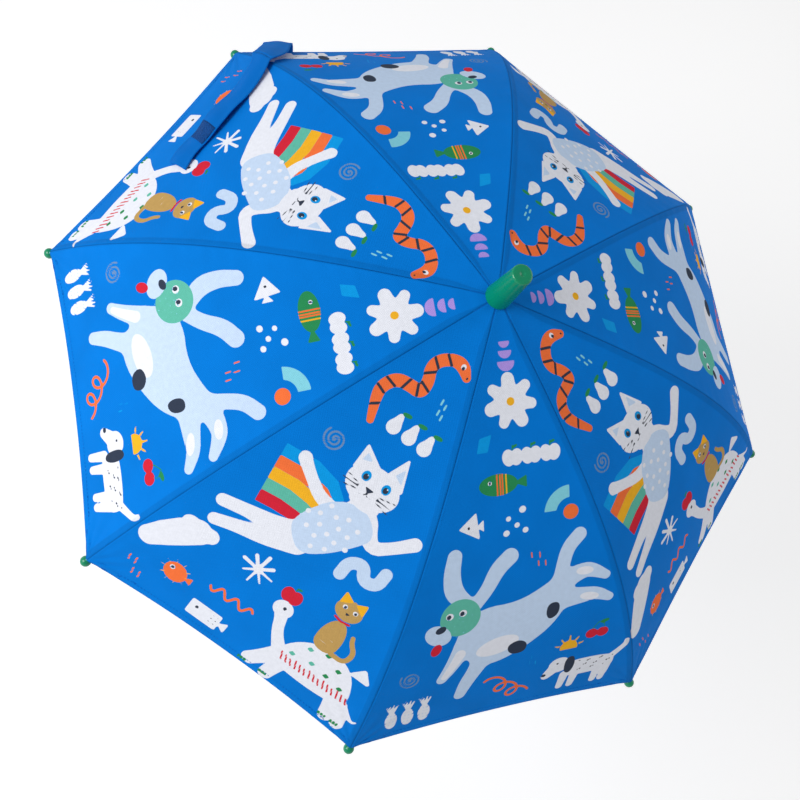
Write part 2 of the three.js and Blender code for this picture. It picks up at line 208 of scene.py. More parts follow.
def fall(r):
    """The seam's slope at radius r, as a tangent."""
    t = r / RADIUS
    return DEPTH / RADIUS * (DOME[0] + 2 * DOME[1] * t + 4 * DOME[2] * t**3)


step_lengths = np.hypot(np.diff(TABLE) * math.cos(HALF), np.diff(drop(TABLE)))
ALONG = np.concatenate([[0], np.cumsum(step_lengths)])
CLOTH_END = float(np.interp(RADIUS, TABLE, ALONG)) - BALL_R
HEM_DIP = 9 * MM
SAG = 2.2 * MM


def radius_at(along):
    """The seam radius of the row that lies so far along the cloth."""
    return np.interp(along, ALONG, TABLE)


def half_width(along):
    return radius_at(along) * math.sin(HALF)


def on_panel(panel, across, along, lift=0.0):
    """Points of a panel in the frame, lifted off the cloth's outer face."""
    across, along, lift = np.broadcast_arrays(across, along, lift)
    r = radius_at(along)
    share = np.clip(across / np.maximum(r * math.sin(HALF), 1e-6), -1, 1)
    lean = np.arctan(fall(r) / math.cos(HALF))
    sag = SAG * (1 - share**2) * np.sin(math.pi * np.clip(along / CLOTH_END, 0, 1))
    up = lift - sag
    out = r * math.cos(HALF) + up * np.sin(lean)
    high = APEX - drop(r) + up * np.cos(lean)
    angle = (panel - 0.5) * STEP
    x = out * math.cos(angle) - across * math.sin(angle)
    y = out * math.sin(angle) + across * math.cos(angle)
    return np.stack([x, y, high], axis=-1)


# %% [markdown]
# The print is many small flat drawings in clear colours. A picture file isn't
# needed: each drawing is a few simple shapes, and each shape is a formula that
# gives the distance to its edge. The distances are stored at the cloth's points,
# and the material draws ink wherever the distance is on the inner side. Distances
# blend smoothly from point to point, so an edge stays crisp at any size.

# %% Distances to simple shapes, in millimetres, negative inside
def ellipse(x, y, rx, ry, turn=0):
    def distance(px, py):
        c, s = math.cos(math.radians(turn)), math.sin(math.radians(turn))
        dx, dy = px - x, py - y
        u, v = c * dx + s * dy, c * dy - s * dx
        k0 = np.hypot(u / rx, v / ry)
        k1 = np.maximum(np.hypot(u / rx**2, v / ry**2), 1e-6)
        return k0 * (k0 - 1) / k1

    return distance


def limb(*points):
    """A chain of round-ended strokes through (x, y, radius) points."""

    def distance(px, py):
        best = np.full(px.shape, 1e3)
        for (ax, ay, ar), (bx, by, br) in zip(points, points[1:]):
            ex, ey = bx - ax, by - ay
            t = np.clip(((px - ax) * ex + (py - ay) * ey) / max(ex * ex + ey * ey, 1e-9), 0, 1)
            gap = np.hypot(px - ax - t * ex, py - ay - t * ey) - (ar + t * (br - ar))
            best = np.minimum(best, gap)
        return best

    return distance


def smooth(points, rounds=2, closed=False):
    """Cuts the corners off a line of points, each round making it smoother."""
    for _ in range(rounds):
        pairs = list(zip(points, points[1:] + (points[:1] if closed else [])))
        cut = [] if closed else [points[0]]
        for a, b in pairs:
            cut.append(tuple(0.75 * p + 0.25 * q for p, q in zip(a, b)))
            cut.append(tuple(0.25 * p + 0.75 * q for p, q in zip(a, b)))
        points = cut if closed else cut + [points[-1]]
    return points


def stroke(*points):
    """A smooth stroke through (x, y, radius) points."""
    return limb(*smooth(list(points)))


def polygon(*corners, rounding=0.0):
    def distance(px, py):
        best = np.full(px.shape, 1e6)
        inside = np.zeros(px.shape, bool)
        for (ax, ay), (bx, by) in zip(corners, corners[1:] + corners[:1]):
            ex, ey = bx - ax, by - ay
            t = np.clip(((px - ax) * ex + (py - ay) * ey) / (ex * ex + ey * ey), 0, 1)
            best = np.minimum(best, np.hypot(px - ax - t * ex, py - ay - t * ey))
            crosses = ((ay > py) != (by > py)) & (px < ex * (py - ay) / (ey if ey else 1e-9) + ax)
            inside ^= crosses
        return np.where(inside, -best, best) - rounding

    return distance


def outline(*corners):
    """A closed shape with smooth edges."""
    return polygon(*smooth(list(corners), 2, closed=True))


def union(*shapes, soft=0.0):
    """Shapes joined, with their meeting rounded by soft millimetres."""

    def distance(px, py):
        total = shapes[0](px, py)
        for shape in shapes[1:]:
            other = shape(px, py)
            h = np.maximum(soft - np.abs(total - other), 0) / soft if soft else 0
            total = np.minimum(total, other) - h * h * soft / 4
        return total

    return distance


def overlap(a, b):
    return lambda px, py: np.maximum(a(px, py), b(px, py))


def rest_of(a, b):
    """Shape a with shape b cut away."""
    return lambda px, py: np.maximum(a(px, py), -b(px, py))


# %% [markdown]
# Inks are laid like poster paint: a new shape covers what is under it. Each ink
# keeps one field of distances, and a shape of another colour pushes that field
# back to its own edge. A little overlap stays, so that no blue hair line shows
# between two inks.

# %% Inks
INKS = {
    "white": "EDEFF7",
    "pale": "C9DDF6",
    "orange": "F8742F",
    "yellow": "F7B60A",
    "mint": "62BCA4",
    "aqua": "86D3E2",
    "green": "2B8C4C",
    "red": "D6202A",
    "lilac": "B497E8",
    "sky": "0A9BE6",
    "grey": "6C8DB8",
    "brown": "C29C54",
    "dark": "343944",
}
INK_OVERLAP = 0.3
NO_INK = -50.0


class Print:
    """The inks on one panel, as fields of distance over its points."""

    def __init__(self, across, along):
        self.px, self.py = across / MM, along / MM
        self.fields = {}

    def lay(self, ink, *shapes):
        inside = -union(*shapes)(self.px, self.py)
        for other, field in self.fields.items():
            if other != ink:
                self.fields[other] = np.minimum(field, INK_OVERLAP - inside)
        old = self.fields.get(ink, np.full(inside.shape, NO_INK))
        self.fields[ink] = np.maximum(old, inside)


# %% [markdown]
# Small drawings that come back are functions: fruit in rows of three, dashes,
# spirals and simple eyes. All of them are plain shapes of this file's own.

# %% Small drawings
def lay_eye(p, x, y, r=1.2):
    p.lay("dark", ellipse(x, y, r, r * 1.15))


def lay_dashes(p, ink, places, long=5.5, wide=0.7):
    for x, y in places:
        p.lay(ink, limb((x, y - long / 2, wide), (x + 0.4, y + long / 2, wide)))


def lay_spiral(p, ink, x, y, r, turns=2.6):
    points = []
    for k in range(46):
        t = k / 45
        a = 2 * math.pi * turns * t
        points.append((x + r * t * math.cos(a), y + r * t * math.sin(a), 0.75))
    p.lay(ink, limb(*points))


def lay_pear(p, x, y):
    p.lay("white", union(ellipse(x, y + 3, 5.6, 5.6), ellipse(x + 0.3, y - 4, 2.9, 4.6), soft=4))
    p.lay("green", ellipse(x + 3.6, y - 9.8, 4, 1.7, -8))


def lay_apple(p, x, y, ink="white", size=1.0):
    halves = [ellipse(x + s * 3 * size, y, 4.6 * size, 5.8 * size, s * 8) for s in (-1, 1)]
    p.lay(ink, union(*halves, soft=1))
    leaf = ellipse(x + 2.4, y - 7.6 * size, 2.2, 1.0, -20)
    p.lay("green", limb((x, y - 5 * size, 0.5), (x + 0.5, y - 8 * size, 0.6)), leaf)


def lay_pineapple(p, x, y, lean=0):
    p.lay("white", ellipse(x, y + 4, 5.2, 10.5, lean), ellipse(x, y + 8, 4.6, 7, lean))
    for k, tilt in enumerate((-30, -12, 8, 26)):
        a = math.radians(tilt)
        p.lay("white", limb((x, y - 5, 1.6), (x + 11 * math.sin(a), y - 6 - 10 * math.cos(a), 0.5)))
    for row in range(4):
        for col in (-1, 0, 1):
            spot = (x + 2.7 * col + (row % 2) * 1.2 - 0.6, y - 2 + 4 * row)
            p.lay("pale", ellipse(*spot, 0.75, 0.95))


def lay_side_fish(p, ink, x, y, rx, ry):
    p.lay(ink, ellipse(x, y, rx, ry), polygon((x + rx - 2, y), (x + rx + 5, y - 4), (x + rx + 5, y + 4)))


# %% [markdown]
# The first print: a leaping white cat before a five-colour rainbow, a striped
# snake, three pears, and along the rim a turtle, a sitting cat, fish, a cloud and
# a star.

# %% First print
def lay_snake(p):
    bends = [
        (16, 63, 3.2), (9, 57, 5.4), (1, 57, 4.8), (-8, 64, 4.8), (-10, 73, 4.6), (-5, 82, 4.6),
        (-5, 92, 5), (-14, 92, 5), (-25, 94, 5), (-31, 104, 4.8), (-30, 113, 4.4), (-23, 130, 2.8),
    ]
    spine = smooth(bends, 3)
    body = limb(*spine)
    p.lay("orange", body)
    for k, share in enumerate((0.24, 0.32, 0.41, 0.5, 0.58, 0.67, 0.76, 0.84, 0.92)):
        at = int(share * (len(spine) - 2))
        (ax, ay, _), (bx, by, _) = spine[at], spine[at + 1]
        heading = math.atan2(by - ay, bx - ax) + math.pi / 2 + (0.35 if k % 2 else -0.3)
        dx, dy = 8 * math.cos(heading), 8 * math.sin(heading)
        p.lay("dark", overlap(limb((ax - dx, ay - dy, 1.1), (ax + dx, ay + dy, 1.1)), body))
    p.lay("white", ellipse(9.5, 57.5, 2.3, 2.6))
    lay_eye(p, 9.8, 58.6, 1.3)
    lay_eye(p, 16.5, 63, 0.9)


def lay_rainbow(p):
    """Five bands of a fan that widens to the left, behind the cat."""
    inks = ("sky", "orange", "yellow", "mint", "red")
    top = [(-2, 190), (-14, 181), (-34, 177), (-61, 180)]
    low = [(-14, 226), (-28, 227), (-42, 228), (-55, 230)]
    for k, ink in enumerate(inks):
        a, b = k / 5, (k + 1) / 5
        upper = [((1 - a) * u[0] + a * v[0], (1 - a) * u[1] + a * v[1]) for u, v in zip(top, low)]
        lower = [((1 - b) * u[0] + b * v[0], (1 - b) * u[1] + b * v[1]) for u, v in zip(top, low)]
        p.lay(ink, polygon(*(upper + lower[::-1])))


def lay_leaping_cat(p):
    body = stroke((14, 196, 15), (6, 212, 16), (-6, 226, 14), (-16, 236, 11))
    legs = [
        stroke((-8, 228, 9), (-30, 236, 7), (-52, 240, 5.5), (-74, 245, 5.2)),
        stroke((-10, 240, 8), (-32, 250, 7), (-54, 256, 5.5), (-71, 262, 5.0)),
    ]
    arms = [
        stroke((6, 200, 6), (-16, 200, 5.4), (-32, 190, 4.6), (-44, 181, 5.4)),
        stroke((24, 196, 7), (36, 208, 5.6), (48, 198, 4.6), (60, 185, 5.4)),
    ]
    p.lay("white", union(body, *legs, *arms, soft=5))
    p.lay("pale", outline(
        (-12, 198), (2, 188), (20, 187), (34, 201), (26, 214), (12, 232), (-5, 245), (-20, 234), (-25, 222),
    ))
    for k in range(16):
        x = 3 + 26 * math.sin(2.4 * k) * math.sqrt((k + 0.5) / 22)
        y = 215 + 25 * math.cos(2.4 * k) * math.sqrt((k + 0.5) / 22)
        p.lay("white", ellipse(x, y, 2.3, 2.2))
    p.lay("white", ellipse(9, 170, 22, 16), polygon((-12, 164), (-12, 146), (4, 155), rounding=1),
          polygon((13, 153), (19, 138), (28, 160), rounding=1), ellipse(11, 183, 13, 6))
    p.lay("pale", polygon((-10, 157), (-9, 150), (-2, 154)), polygon((17, 152), (21, 144), (25, 156)))
    for x in (0, 18):
        p.lay("sky", ellipse(x, 165, 3.6, 4.2))
        lay_eye(p, x, 165.6, 2.2)
        p.lay("white", ellipse(x + 0.8, 164.4, 0.9, 0.9))
    p.lay("dark", polygon((5, 172), (11, 172), (8, 175), rounding=0.5))
    p.lay("dark", stroke((8, 175, 0.4), (7, 178, 0.4), (3, 178.5, 0.4)))
    p.lay("dark", stroke((8, 175, 0.4), (9, 178, 0.4), (13, 178, 0.4)))
    for side in (-1, 1):
        for k in range(3):
            x = 8 + side * 9
            p.lay("dark", limb((x, 173 + 2 * k, 0.55), (x + side * 13, 170 + 5 * k, 0.45)))


def lay_sitting_cat(p):
    p.lay("brown", stroke((64, 300, 2.2), (76, 300, 2.2), (78, 288, 2.2), (71, 281, 2.0), (69, 276, 1.8)))
    p.lay("brown", outline((46, 303), (44, 284), (50, 270), (60, 270), (66, 284), (65, 303)))
    p.lay("brown", ellipse(53, 259, 11.5, 9.5))
    for ear in (((43, 256), (43, 247), (51, 251)), ((55, 251), (62, 247), (63, 256))):
        p.lay("yellow", polygon(*ear, rounding=0.8))
    p.lay("red", limb((47, 269, 1.0), (53, 270.5, 1.0), (60, 269, 1.0)))
    for x in (48.5, 58):
        p.lay("white", ellipse(x, 257.5, 2.4, 2.2))
        lay_eye(p, x + 0.3, 257.8, 1.2)
    p.lay("dark", polygon((51.5, 261.5), (55, 261.5), (53.2, 263.4), rounding=0.3))
    for k in range(4):
        p.lay("white", limb((51 - k, 280 + 5 * k, 0.4), (57 + k, 280 + 5 * k, 0.4)))


def lay_turtle(p):
    p.lay("white", stroke((12, 292, 6.5), (16, 300, 5), (20, 312, 4.6), (30, 326, 6)))
    p.lay("white", ellipse(13, 292, 8.5, 8))
    shell = [(26, 340), (32, 316), (48, 300), (70, 296), (88, 304), (98, 322), (101, 340), (64, 344)]
    p.lay("white", outline(*shell))
    legs = [
        stroke((32, 332, 8), (24, 344, 7), (17, 353, 6.5)),
        stroke((40, 335, 7), (37, 346, 6.5), (35, 357, 6)),
        stroke((90, 334, 8), (92, 346, 6.5), (94, 357, 6)),
        stroke((96, 338, 8), (103, 347, 6.5), (106, 357, 6)),
    ]
    tail = stroke((98, 334, 3.4), (108, 343, 2.6), (114, 346, 1.6), (117, 343, 0.8))
    p.lay("white", *legs, tail)
    spots = [(50, 308), (64, 303), (78, 310), (58, 319), (73, 321), (88, 324), (41, 322)]
    for k, (x, y) in enumerate(spots):
        plate = polygon((x - 3, y + 1), (x - 1, y - 2.4), (x + 3, y - 1), (x + 1, y + 2.4))
        p.lay("green" if k % 3 else "mint", plate)
    for k in range(15):
        x = 34 + 4.5 * k
        p.lay("red", limb((x, 326 + (k % 3), 0.8), (x + 3, 334, 0.85)))
    for x in (13, 33, 92, 104):
        for k in range(3):
            p.lay("green", limb((x + 3 * k - 3, 357, 1.1), (x + 3 * k - 3, 359, 1.0)))
    lay_eye(p, 14, 291, 1.5)
    lay_apple(p, 12, 278, "red", 1.15)


def lay_first_print(p):
    lay_snake(p)
    lay_dashes(p, "aqua", [(12, 88), (16, 90), (14, 96), (18, 98)], 3.6, 0.75)
    for x in (-6, 8, 22):
        lay_pear(p, x, 121)
    lay_spiral(p, "grey", -35, 157, 9)
    lay_rainbow(p)
    lay_leaping_cat(p)
    p.lay("pale", stroke((29, 238, 5), (29, 226, 5), (40, 221, 5), (46, 232, 5), (57, 229, 5), (57, 217, 5)))
    lay_turtle(p)
    lay_sitting_cat(p)
    p.lay("white", polygon((88, 303), (94, 295), (101, 303), rounding=2))
    cloud = [(-103, 308, 9), (-94, 298, 11), (-84, 288, 12), (-74, 280, 11), (-64, 277, 6.5)]
    p.lay("white", limb(*cloud), ellipse(-82, 276, 8, 6))
    for k in range(4):
        a = math.radians(45 * k + 8)
        reach = 14 - 2 * (k % 2)
        dx, dy = reach * math.cos(a), reach * math.sin(a)
        p.lay("white", limb((-21 - dx, 276 - dy, 1.6), (-21 + dx, 276 + dy, 0.8)))
    wave = [(-42 + 1.3 * k, 314 + 4 * math.sin(k * 0.62), 1.1) for k in range(31)]
    p.lay("orange", limb(*wave))
    lay_side_fish(p, "orange", -70, 324, 10, 9.5)
    for k in range(10):
        dx, dy = math.cos(2 * math.pi * k / 10), math.sin(2 * math.pi * k / 10)
        p.lay("yellow", limb((-70 + 9 * dx, 324 + 9 * dy, 0.6), (-70 + 13 * dx, 324 + 12.5 * dy, 0.3)))
    p.lay("white", ellipse(-74, 321, 2.6, 2.6))
    lay_eye(p, -74, 321, 1.4)
    lay_dashes(p, "orange", [(-106, 338), (-100, 338), (-98, 349), (-92, 349)], 6, 0.8)
    p.lay("white", polygon((-45, 336), (-20, 336), (-20, 350), (-45, 350), rounding=1.6),
          polygon((-19, 343), (-12, 338), (-12, 348), rounding=0.5))
    for k in range(12):
        p.lay("dark", ellipse(-28 + (k % 4) * 2.2, 338 + (k // 4) * 4.2, 0.45, 0.6))
    lay_eye(p, -40, 341, 1.5)


# %% [markdown]
# The second print: a leaping pale dog, half discs, a flower, apples, a striped
# fish, and along the rim pineapples, a curl, cherries and a small spotted dog.

# %% Second print
def lay_leaping_dog(p):
    ears = [
        stroke((-42, 232, 6), (-54, 220, 8), (-56, 204, 7), (-53, 189, 6)),
        stroke((-36, 234, 6), (-26, 222, 6), (-18, 206, 7), (-7, 197, 7)),
    ]
    tail = stroke((34, 232, 5), (38, 214, 6), (42, 198, 6), (52, 188, 6))
    body = outline((-46, 252), (-30, 238), (0, 239), (24, 228), (40, 216), (50, 224), (46, 246), (34, 268),
                   (14, 284), (-8, 296), (-28, 298), (-44, 284), (-52, 268))
    legs = [
        stroke((42, 226, 9), (58, 220, 7), (66, 222, 6), (77, 228, 4)),
        stroke((40, 244, 10), (58, 244, 7.5), (70, 244, 6), (82, 250, 4)),
        stroke((-44, 274, 9), (-50, 286, 7), (-54, 294, 6), (-60, 304, 4.5)),
        stroke((-26, 288, 9), (-32, 302, 7), (-38, 314, 6.5), (-42, 328, 5)),
    ]
    p.lay("pale", union(body, tail, *legs, *ears, soft=4))
    p.lay("white", stroke((-46, 280, 5), (-52, 292, 4), (-58, 302, 3)), ellipse(-14, 279, 19, 9, -12))
    p.lay("white", ellipse(64, 246, 9, 4, 10), ellipse(58, 221, 8, 4, 4))
    p.lay("mint", ellipse(-48, 243, 17, 17))
    p.lay("pale", ellipse(-66, 256, 12, 9, 35))
    p.lay("dark", ellipse(-64, 251, 4.6, 3.2, -20))
    p.lay("red", ellipse(-67, 270, 4.2, 6, 25))
    for x, y in ((-57, 240), (-46, 239)):
        p.lay("white", ellipse(x, y, 3.6, 3.4))
        lay_eye(p, x - 0.6, y + 0.3, 1.9)
    p.lay("dark", outline((28, 246), (38, 246), (38, 258), (30, 263), (26, 256)))
    p.lay("dark", outline((-6, 282), (4, 277), (13, 282), (11, 292), (-2, 292)))
    for k in range(16):
        x = -48 + 13 * math.sin(2.4 * k) * math.sqrt(k / 16)
        y = 246 + 13 * math.cos(2.4 * k) * math.sqrt(k / 16)
        p.lay("aqua", ellipse(x, y + 3, 0.7, 0.7))


def lay_small_dog(p):
    body = [(54, 318), (64, 315), (92, 316), (100, 320), (99, 334), (88, 336), (66, 336), (54, 334)]
    p.lay("white", outline(*body))
    p.lay("white", ellipse(47, 318, 10, 9), stroke((42, 322, 6), (36, 329, 4.4)))
    p.lay("white", stroke((96, 320, 3.6), (102, 314, 3), (108, 308, 2.6), (108, 303, 2.2)))
    for x in (52, 62, 84, 92):
        p.lay("white", limb((x + 2, 332, 4.4), (x, 348, 3.2)))
    p.lay("dark", outline((52, 311), (60, 309), (62, 322), (58, 332), (52, 328)))
    p.lay("dark", ellipse(34, 328, 2.2, 1.8))
    lay_eye(p, 45, 316, 1.1)
    for k in range(17):
        x = 66 + (k * 7.3) % 34
        y = 318 + (k * 5.1) % 15
        p.lay("dark", ellipse(x, y, 0.95, 0.9))
    sun = ellipse(52, 298, 8, 8)
    p.lay("yellow", overlap(sun, lambda px, py: py - 300))
    for k in range(5):
        dx, dy = math.cos(math.radians(200 + 35 * k)), math.sin(math.radians(200 + 35 * k))
        p.lay("yellow", limb((52 + 10 * dx, 299 + 10 * dy, 0.9), (52 + 14 * dx, 299 + 14 * dy, 0.6)))


def lay_second_print(p):
    for y, r in ((31, 4.4), (38, 5.4), (46, 7)):
        p.lay("lilac", overlap(ellipse(-1, y, r, r), lambda px, py, y=y: y - 0.4 - py))
    petals = []
    for k in range(7):
        a = 2 * math.pi * (k + 0.2) / 7
        petals.append(limb((0, 76, 7), (17 * math.cos(a), 76 + 17 * math.sin(a), 4.2 + k % 2)))
    p.lay("white", union(*petals, soft=2))
    p.lay("yellow", ellipse(0, 76, 3.2, 3.2))
    p.lay("sky", polygon((-28, 101), (-18, 99), (-22, 112), (-31, 112)))
    for x in (-2, 13.5, 29):
        lay_apple(p, x, 118.5, size=1.12)
    fish = ellipse(-15, 138, 16, 8.5)
    p.lay("green", fish, polygon((-1, 138), (8, 134), (8, 142), rounding=0.6))
    for ink, x in (("orange", -16), ("orange", -11.5), ("yellow", -8.5), ("orange", -13.5)):
        p.lay(ink, overlap(fish, limb((x, 128, 0.9), (x, 148, 0.9))))
    p.lay("white", ellipse(-22, 136, 2, 2))
    lay_eye(p, -22, 136, 1)
    ring = rest_of(ellipse(44, 168, 22, 22), ellipse(44, 168, 12, 12))
    p.lay("aqua", overlap(ring, lambda px, py: np.maximum(px - 43.5, py - 165.5)))
    p.lay("orange", ellipse(44.5, 168, 6.4, 6.2))
    p.lay("white", polygon((-48, 168), (-35, 158), (-33, 177), rounding=0.8))
    p.lay("white", polygon((-34, 168), (-29, 164), (-29, 172), rounding=0.4))
    lay_eye(p, -41, 168, 1.1)
    for x, y, r in ((4, 160, 2.7), (-8, 166, 2.0), (-1, 172, 2.1), (-10, 177.5, 2.5), (6, 177, 2.3)):
        p.lay("white", ellipse(x, y, r * 1.1, r, -20))
    lay_dashes(p, "orange", [(11, 199), (18, 200), (17, 207), (23, 208)], 4.4, 0.6)
    lay_leaping_dog(p)
    for x in (71.5, 81.5):
        p.lay("red", ellipse(x, 287, 5.4, 5))
        p.lay("green", stroke((x, 283, 0.5), (x + 2, 279, 0.5), (77, 275, 0.5)))
    p.lay("green", ellipse(82, 275, 4.2, 1.8, -12))
    lay_dashes(p, "sky", [(14, 300), (19, 301), (18, 307), (23, 308)], 4, 0.5)
    lay_spiral(p, "grey", -87, 296, 9)
    for x, y in ((-100, 338), (-86, 337), (-72, 336)):
        lay_pineapple(p, x, y)
    curl = []
    for k in range(70):
        t = k / 69
        a = 2 * math.pi * (2.4 * t + 0.55)
        curl.append((-14 + 28 * t + 7.5 * math.cos(a), 321 + 22 * t + 7 * math.sin(a), 1.15))
    p.lay("orange", limb(*curl))
    lay_small_dog(p)


# %% [markdown]
# Each panel starts as a flat grid from Blender's grid operator. Its points are
# moved onto the unrolled triangle, the print is measured there, and only then are
# they laid over the dome. The hem is pulled in a little between two tips, and the
# corners are drawn out to the balls. A Solidify modifier gives the cloth its
# thickness, with the back in a second material, because the print doesn't show
# through to the inside.

# %% Build the panels
COLUMNS, ROWS = ((176, 264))
THICKNESS = 0.3 * MM
TURNED_UNDER = 6.2 * MM
TURNED_BACK = 2.0 * MM
NARROWS_FROM = 16 * MM
GROOVE = 0.75 * MM


def rim_along(share):
    """Where the hem lies along the cloth, share running from -1 to 1 between tips."""
    corner = np.clip((np.abs(share) - 0.93) / 0.07, 0, 1)
    return CLOTH_END - HEM_DIP * (1 - np.abs(share) ** 2.2) + 1.5 * MM * corner**2


def panel_grid(name, columns, rows):
    """A grid mesh with shares across (-1 to 1) and along (0 to 1) for its points."""
    bm = bmesh.new()
    bmesh.ops.create_grid(bm, x_segments=columns, y_segments=rows, size=1, calc_uvs=True)
    mesh = bpy.data.meshes.new(name)
    bm.to_mesh(mesh)
    bm.free()
    flat = np.array([v.co for v in mesh.vertices])
    return mesh, flat[:, 0], (1 - flat[:, 1]) / 2


def finish_piece(mesh, points, looks):
    """Puts the points in the mesh and makes it an object with its materials."""
    mesh.vertices.foreach_set("co", np.asarray(points, np.float32).ravel())
    for look in looks:
        mesh.materials.append(look)
    mesh.polygons.foreach_set("use_smooth", [True] * len(mesh.polygons))
    mesh.update()
    obj = bpy.data.objects.new(mesh.name, mesh)
    bpy.context.collection.objects.link(obj)
    return obj


def set_map(mesh, across, along):
    """A UV map in metres of cloth, for the weave."""
    layer = mesh.uv_layers.active or mesh.uv_layers.new(name="UVMap")
    corner = np.zeros(len(mesh.loops), np.int64)
    mesh.loops.foreach_get("vertex_index", corner)
    layer.data.foreach_set("uv", np.stack([across, along], -1)[corner].astype(np.float32).ravel())


def turn_outward(mesh):
    """Flips a sheet whose faces look down, so that they look away from the shaft."""
    if sum(f.normal.z * f.area for f in mesh.polygons) < 0:
        mesh.flip_normals()


EDGE_STEPS = np.array([0, 0.35, 0.8, 1.5, 2.3, 3.6, 5.2, 6.2, 7.2]) * MM


def crowd_edges(share, half):
    """Moves the grid's outer columns close to the seams, where the cloth bends most."""
    index = np.abs(np.rint((1 - np.abs(share)) * COLUMNS / 2))
    scale = np.clip(half / NARROWS_FROM, 0, 1)
    last = len(EDGE_STEPS) - 1
    near = np.interp(index, np.arange(last + 1), EDGE_STEPS) * scale
    inner = (half - EDGE_STEPS[last] * scale) * (COLUMNS / 2 - index) / (COLUMNS / 2 - last)
    return np.sign(share) * np.where(index <= last, half - near, inner)


def store(mesh, name, values):
    field = mesh.attributes.new(name, "FLOAT", "POINT")
    field.data.foreach_set("value", np.asarray(values, np.float32))


def ease(value, low, high):
    t = np.clip((value - low) / (high - low), 0, 1)
    return t * t * (3 - 2 * t)


def seam_distance(across, along):
    return np.maximum(half_width(along) - np.abs(across), 0)


def allowance(across, along):
    """Width of the turned-under edge on this side, narrower near the apex."""
    wide = np.where(across > 0, TURNED_UNDER, TURNED_BACK)
    return wide * np.clip(half_width(along) / NARROWS_FROM, 0.2, 1)


def sewn_edges(across, along):
    """A groove along each seam, and the slight step where the cloth is doubled."""
    d = seam_distance(across, along)
    wide = allowance(across, along)
    groove = -GROOVE * np.exp(-((d / GROOVE) ** 2))
    step = 0.2 * MM * (1 - ease(d, wide - 0.8 * MM, wide))
    rim = rim_along(across / half_width(along))
    hem = 0.18 * MM * ease(along, rim - 7.4 * MM, rim - 6.4 * MM)
    return groove + np.maximum(step, hem)


def painted_seam_shade(across, along):
    """Painted shade on the dye: darker over the turned-under edge, where less light shines through, and a
    painted shadow in the groove.
    """
    d = seam_distance(across, along)
    wide = allowance(across, along)
    band = np.where(across > 0, 0.16, 0.05) * (1 - ease(d, wide - 0.9 * MM, wide + 0.4 * MM))
    line = 0.5 * np.exp(-((d / (0.6 * MM)) ** 2))
    return np.maximum(band, line)


def pucker(share, along, half):
    """Small waves where the thread gathers the cloth, fading away from each seam."""
    from_seam = (1 - np.abs(share)) * half
    fade = np.exp(-from_seam / (9 * MM)) * np.clip(from_seam / (3 * MM), 0, 1)
    ripple = np.sin(along / (2.6 * MM) + 2 * np.sin(along / (17 * MM)))
    fan = np.exp(-((CLOTH_END - along) ** 2 + from_seam**2) / (45 * MM) ** 2)
    pull = np.sin(np.arctan2(CLOTH_END + 1 * MM - along, from_seam + 1 * MM) * 16)
    return 0.16 * MM * ripple * fade + 0.32 * MM * pull * fan * np.clip(from_seam / (8 * MM), 0, 1)


# %% [markdown]
# The cloth is polyester taffeta: fine plain-woven filament yarn, dyed a strong
# blue. It has a soft sheen and a slightly uneven surface. Real threads are about
# 0.3 mm, too fine to draw from here, so the weave is drawn about three times as
# coarse, where it still reads as cloth. The print is screen ink, and the weave
# shows less through it. The seams, hem and strap are the same taffeta.

# %% Cloth materials
CLOTH_BLUE = "0078D6"
WEAVE = 0.9 * MM
RELIEF = 0.2 * MM


def taffeta(name, colour, roughness):
    """The start of every cloth here: hardly any gloss and a faint blue sheen."""
    return material(name, colour, roughness, Specular_IOR_Level=0.06, Sheen_Weight=0.02,
                    Sheen_Tint=(0.2, 0.6, 1, 1), Sheen_Roughness=0.4)


def add_weave(tree, shader, strength=0.25):
    """A plain weave over the UV map, as bump, with slubs where the yarn is thicker."""
    place = node(tree, "ShaderNodeUVMap")
    spread = node(tree, "ShaderNodeSeparateXYZ", {0: place.outputs[0]})
    turns = math.pi / WEAVE
    waves = []
    for axis in (0, 1):
        angle = node(tree, "ShaderNodeMath", {0: spread.outputs[axis], 1: turns}, operation="MULTIPLY")
        waves.append(node(tree, "ShaderNodeMath", {0: angle.outputs[0]}, operation="SINE"))
    warp, weft = (wave.outputs[0] for wave in waves)
    cross = node(tree, "ShaderNodeMath", {0: warp, 1: weft}, operation="MULTIPLY")
    slub = node(tree, "ShaderNodeTexNoise", {"Vector": place.outputs[0], "Scale": 260.0, "Detail": 3.0})
    both = {0: cross.outputs[0], 1: slub.outputs[0]}
    height = node(tree, "ShaderNodeMath", both, operation="ADD").outputs[0]
    bump = node(tree, "ShaderNodeBump", {"Height": height, "Strength": strength, "Distance": RELIEF})
    tree.links.new(bump.outputs[0], shader.inputs["Normal"])
    return place, cross, slub


def shade_cloth(tree, colour, place, cross):
    """The dyed colour, a little darker between threads and uneven over a hand's width."""
    cloudy = node(tree, "ShaderNodeTexNoise", {"Vector": place.outputs[0], "Scale": 22.0, "Detail": 4.0})
    mix = node(tree, "ShaderNodeMath", {0: cross.outputs[0], 1: 0.05}, operation="MULTIPLY")
    level = node(tree, "ShaderNodeMapRange", {0: cloudy.outputs[0], 1: 0.3, 2: 0.7, 3: 0.93, 4: 1.05})
    total = node(tree, "ShaderNodeMath", {0: mix.outputs[0], 1: level.outputs[0]}, operation="ADD")
    shade = node(tree, "ShaderNodeVectorMath", {0: colour, "Scale": total.outputs[0]}, operation="SCALE")
    return shade.outputs[0]


def plain_cloth(name, colour, roughness=0.8, strength=0.25):
    made, tree, shader = taffeta(name, colour, roughness)
    place, cross, _ = add_weave(tree, shader, strength)
    dye = shade_cloth(tree, linear(colour)[:3], place, cross)
    tree.links.new(dye, shader.inputs["Base Color"])
    return made


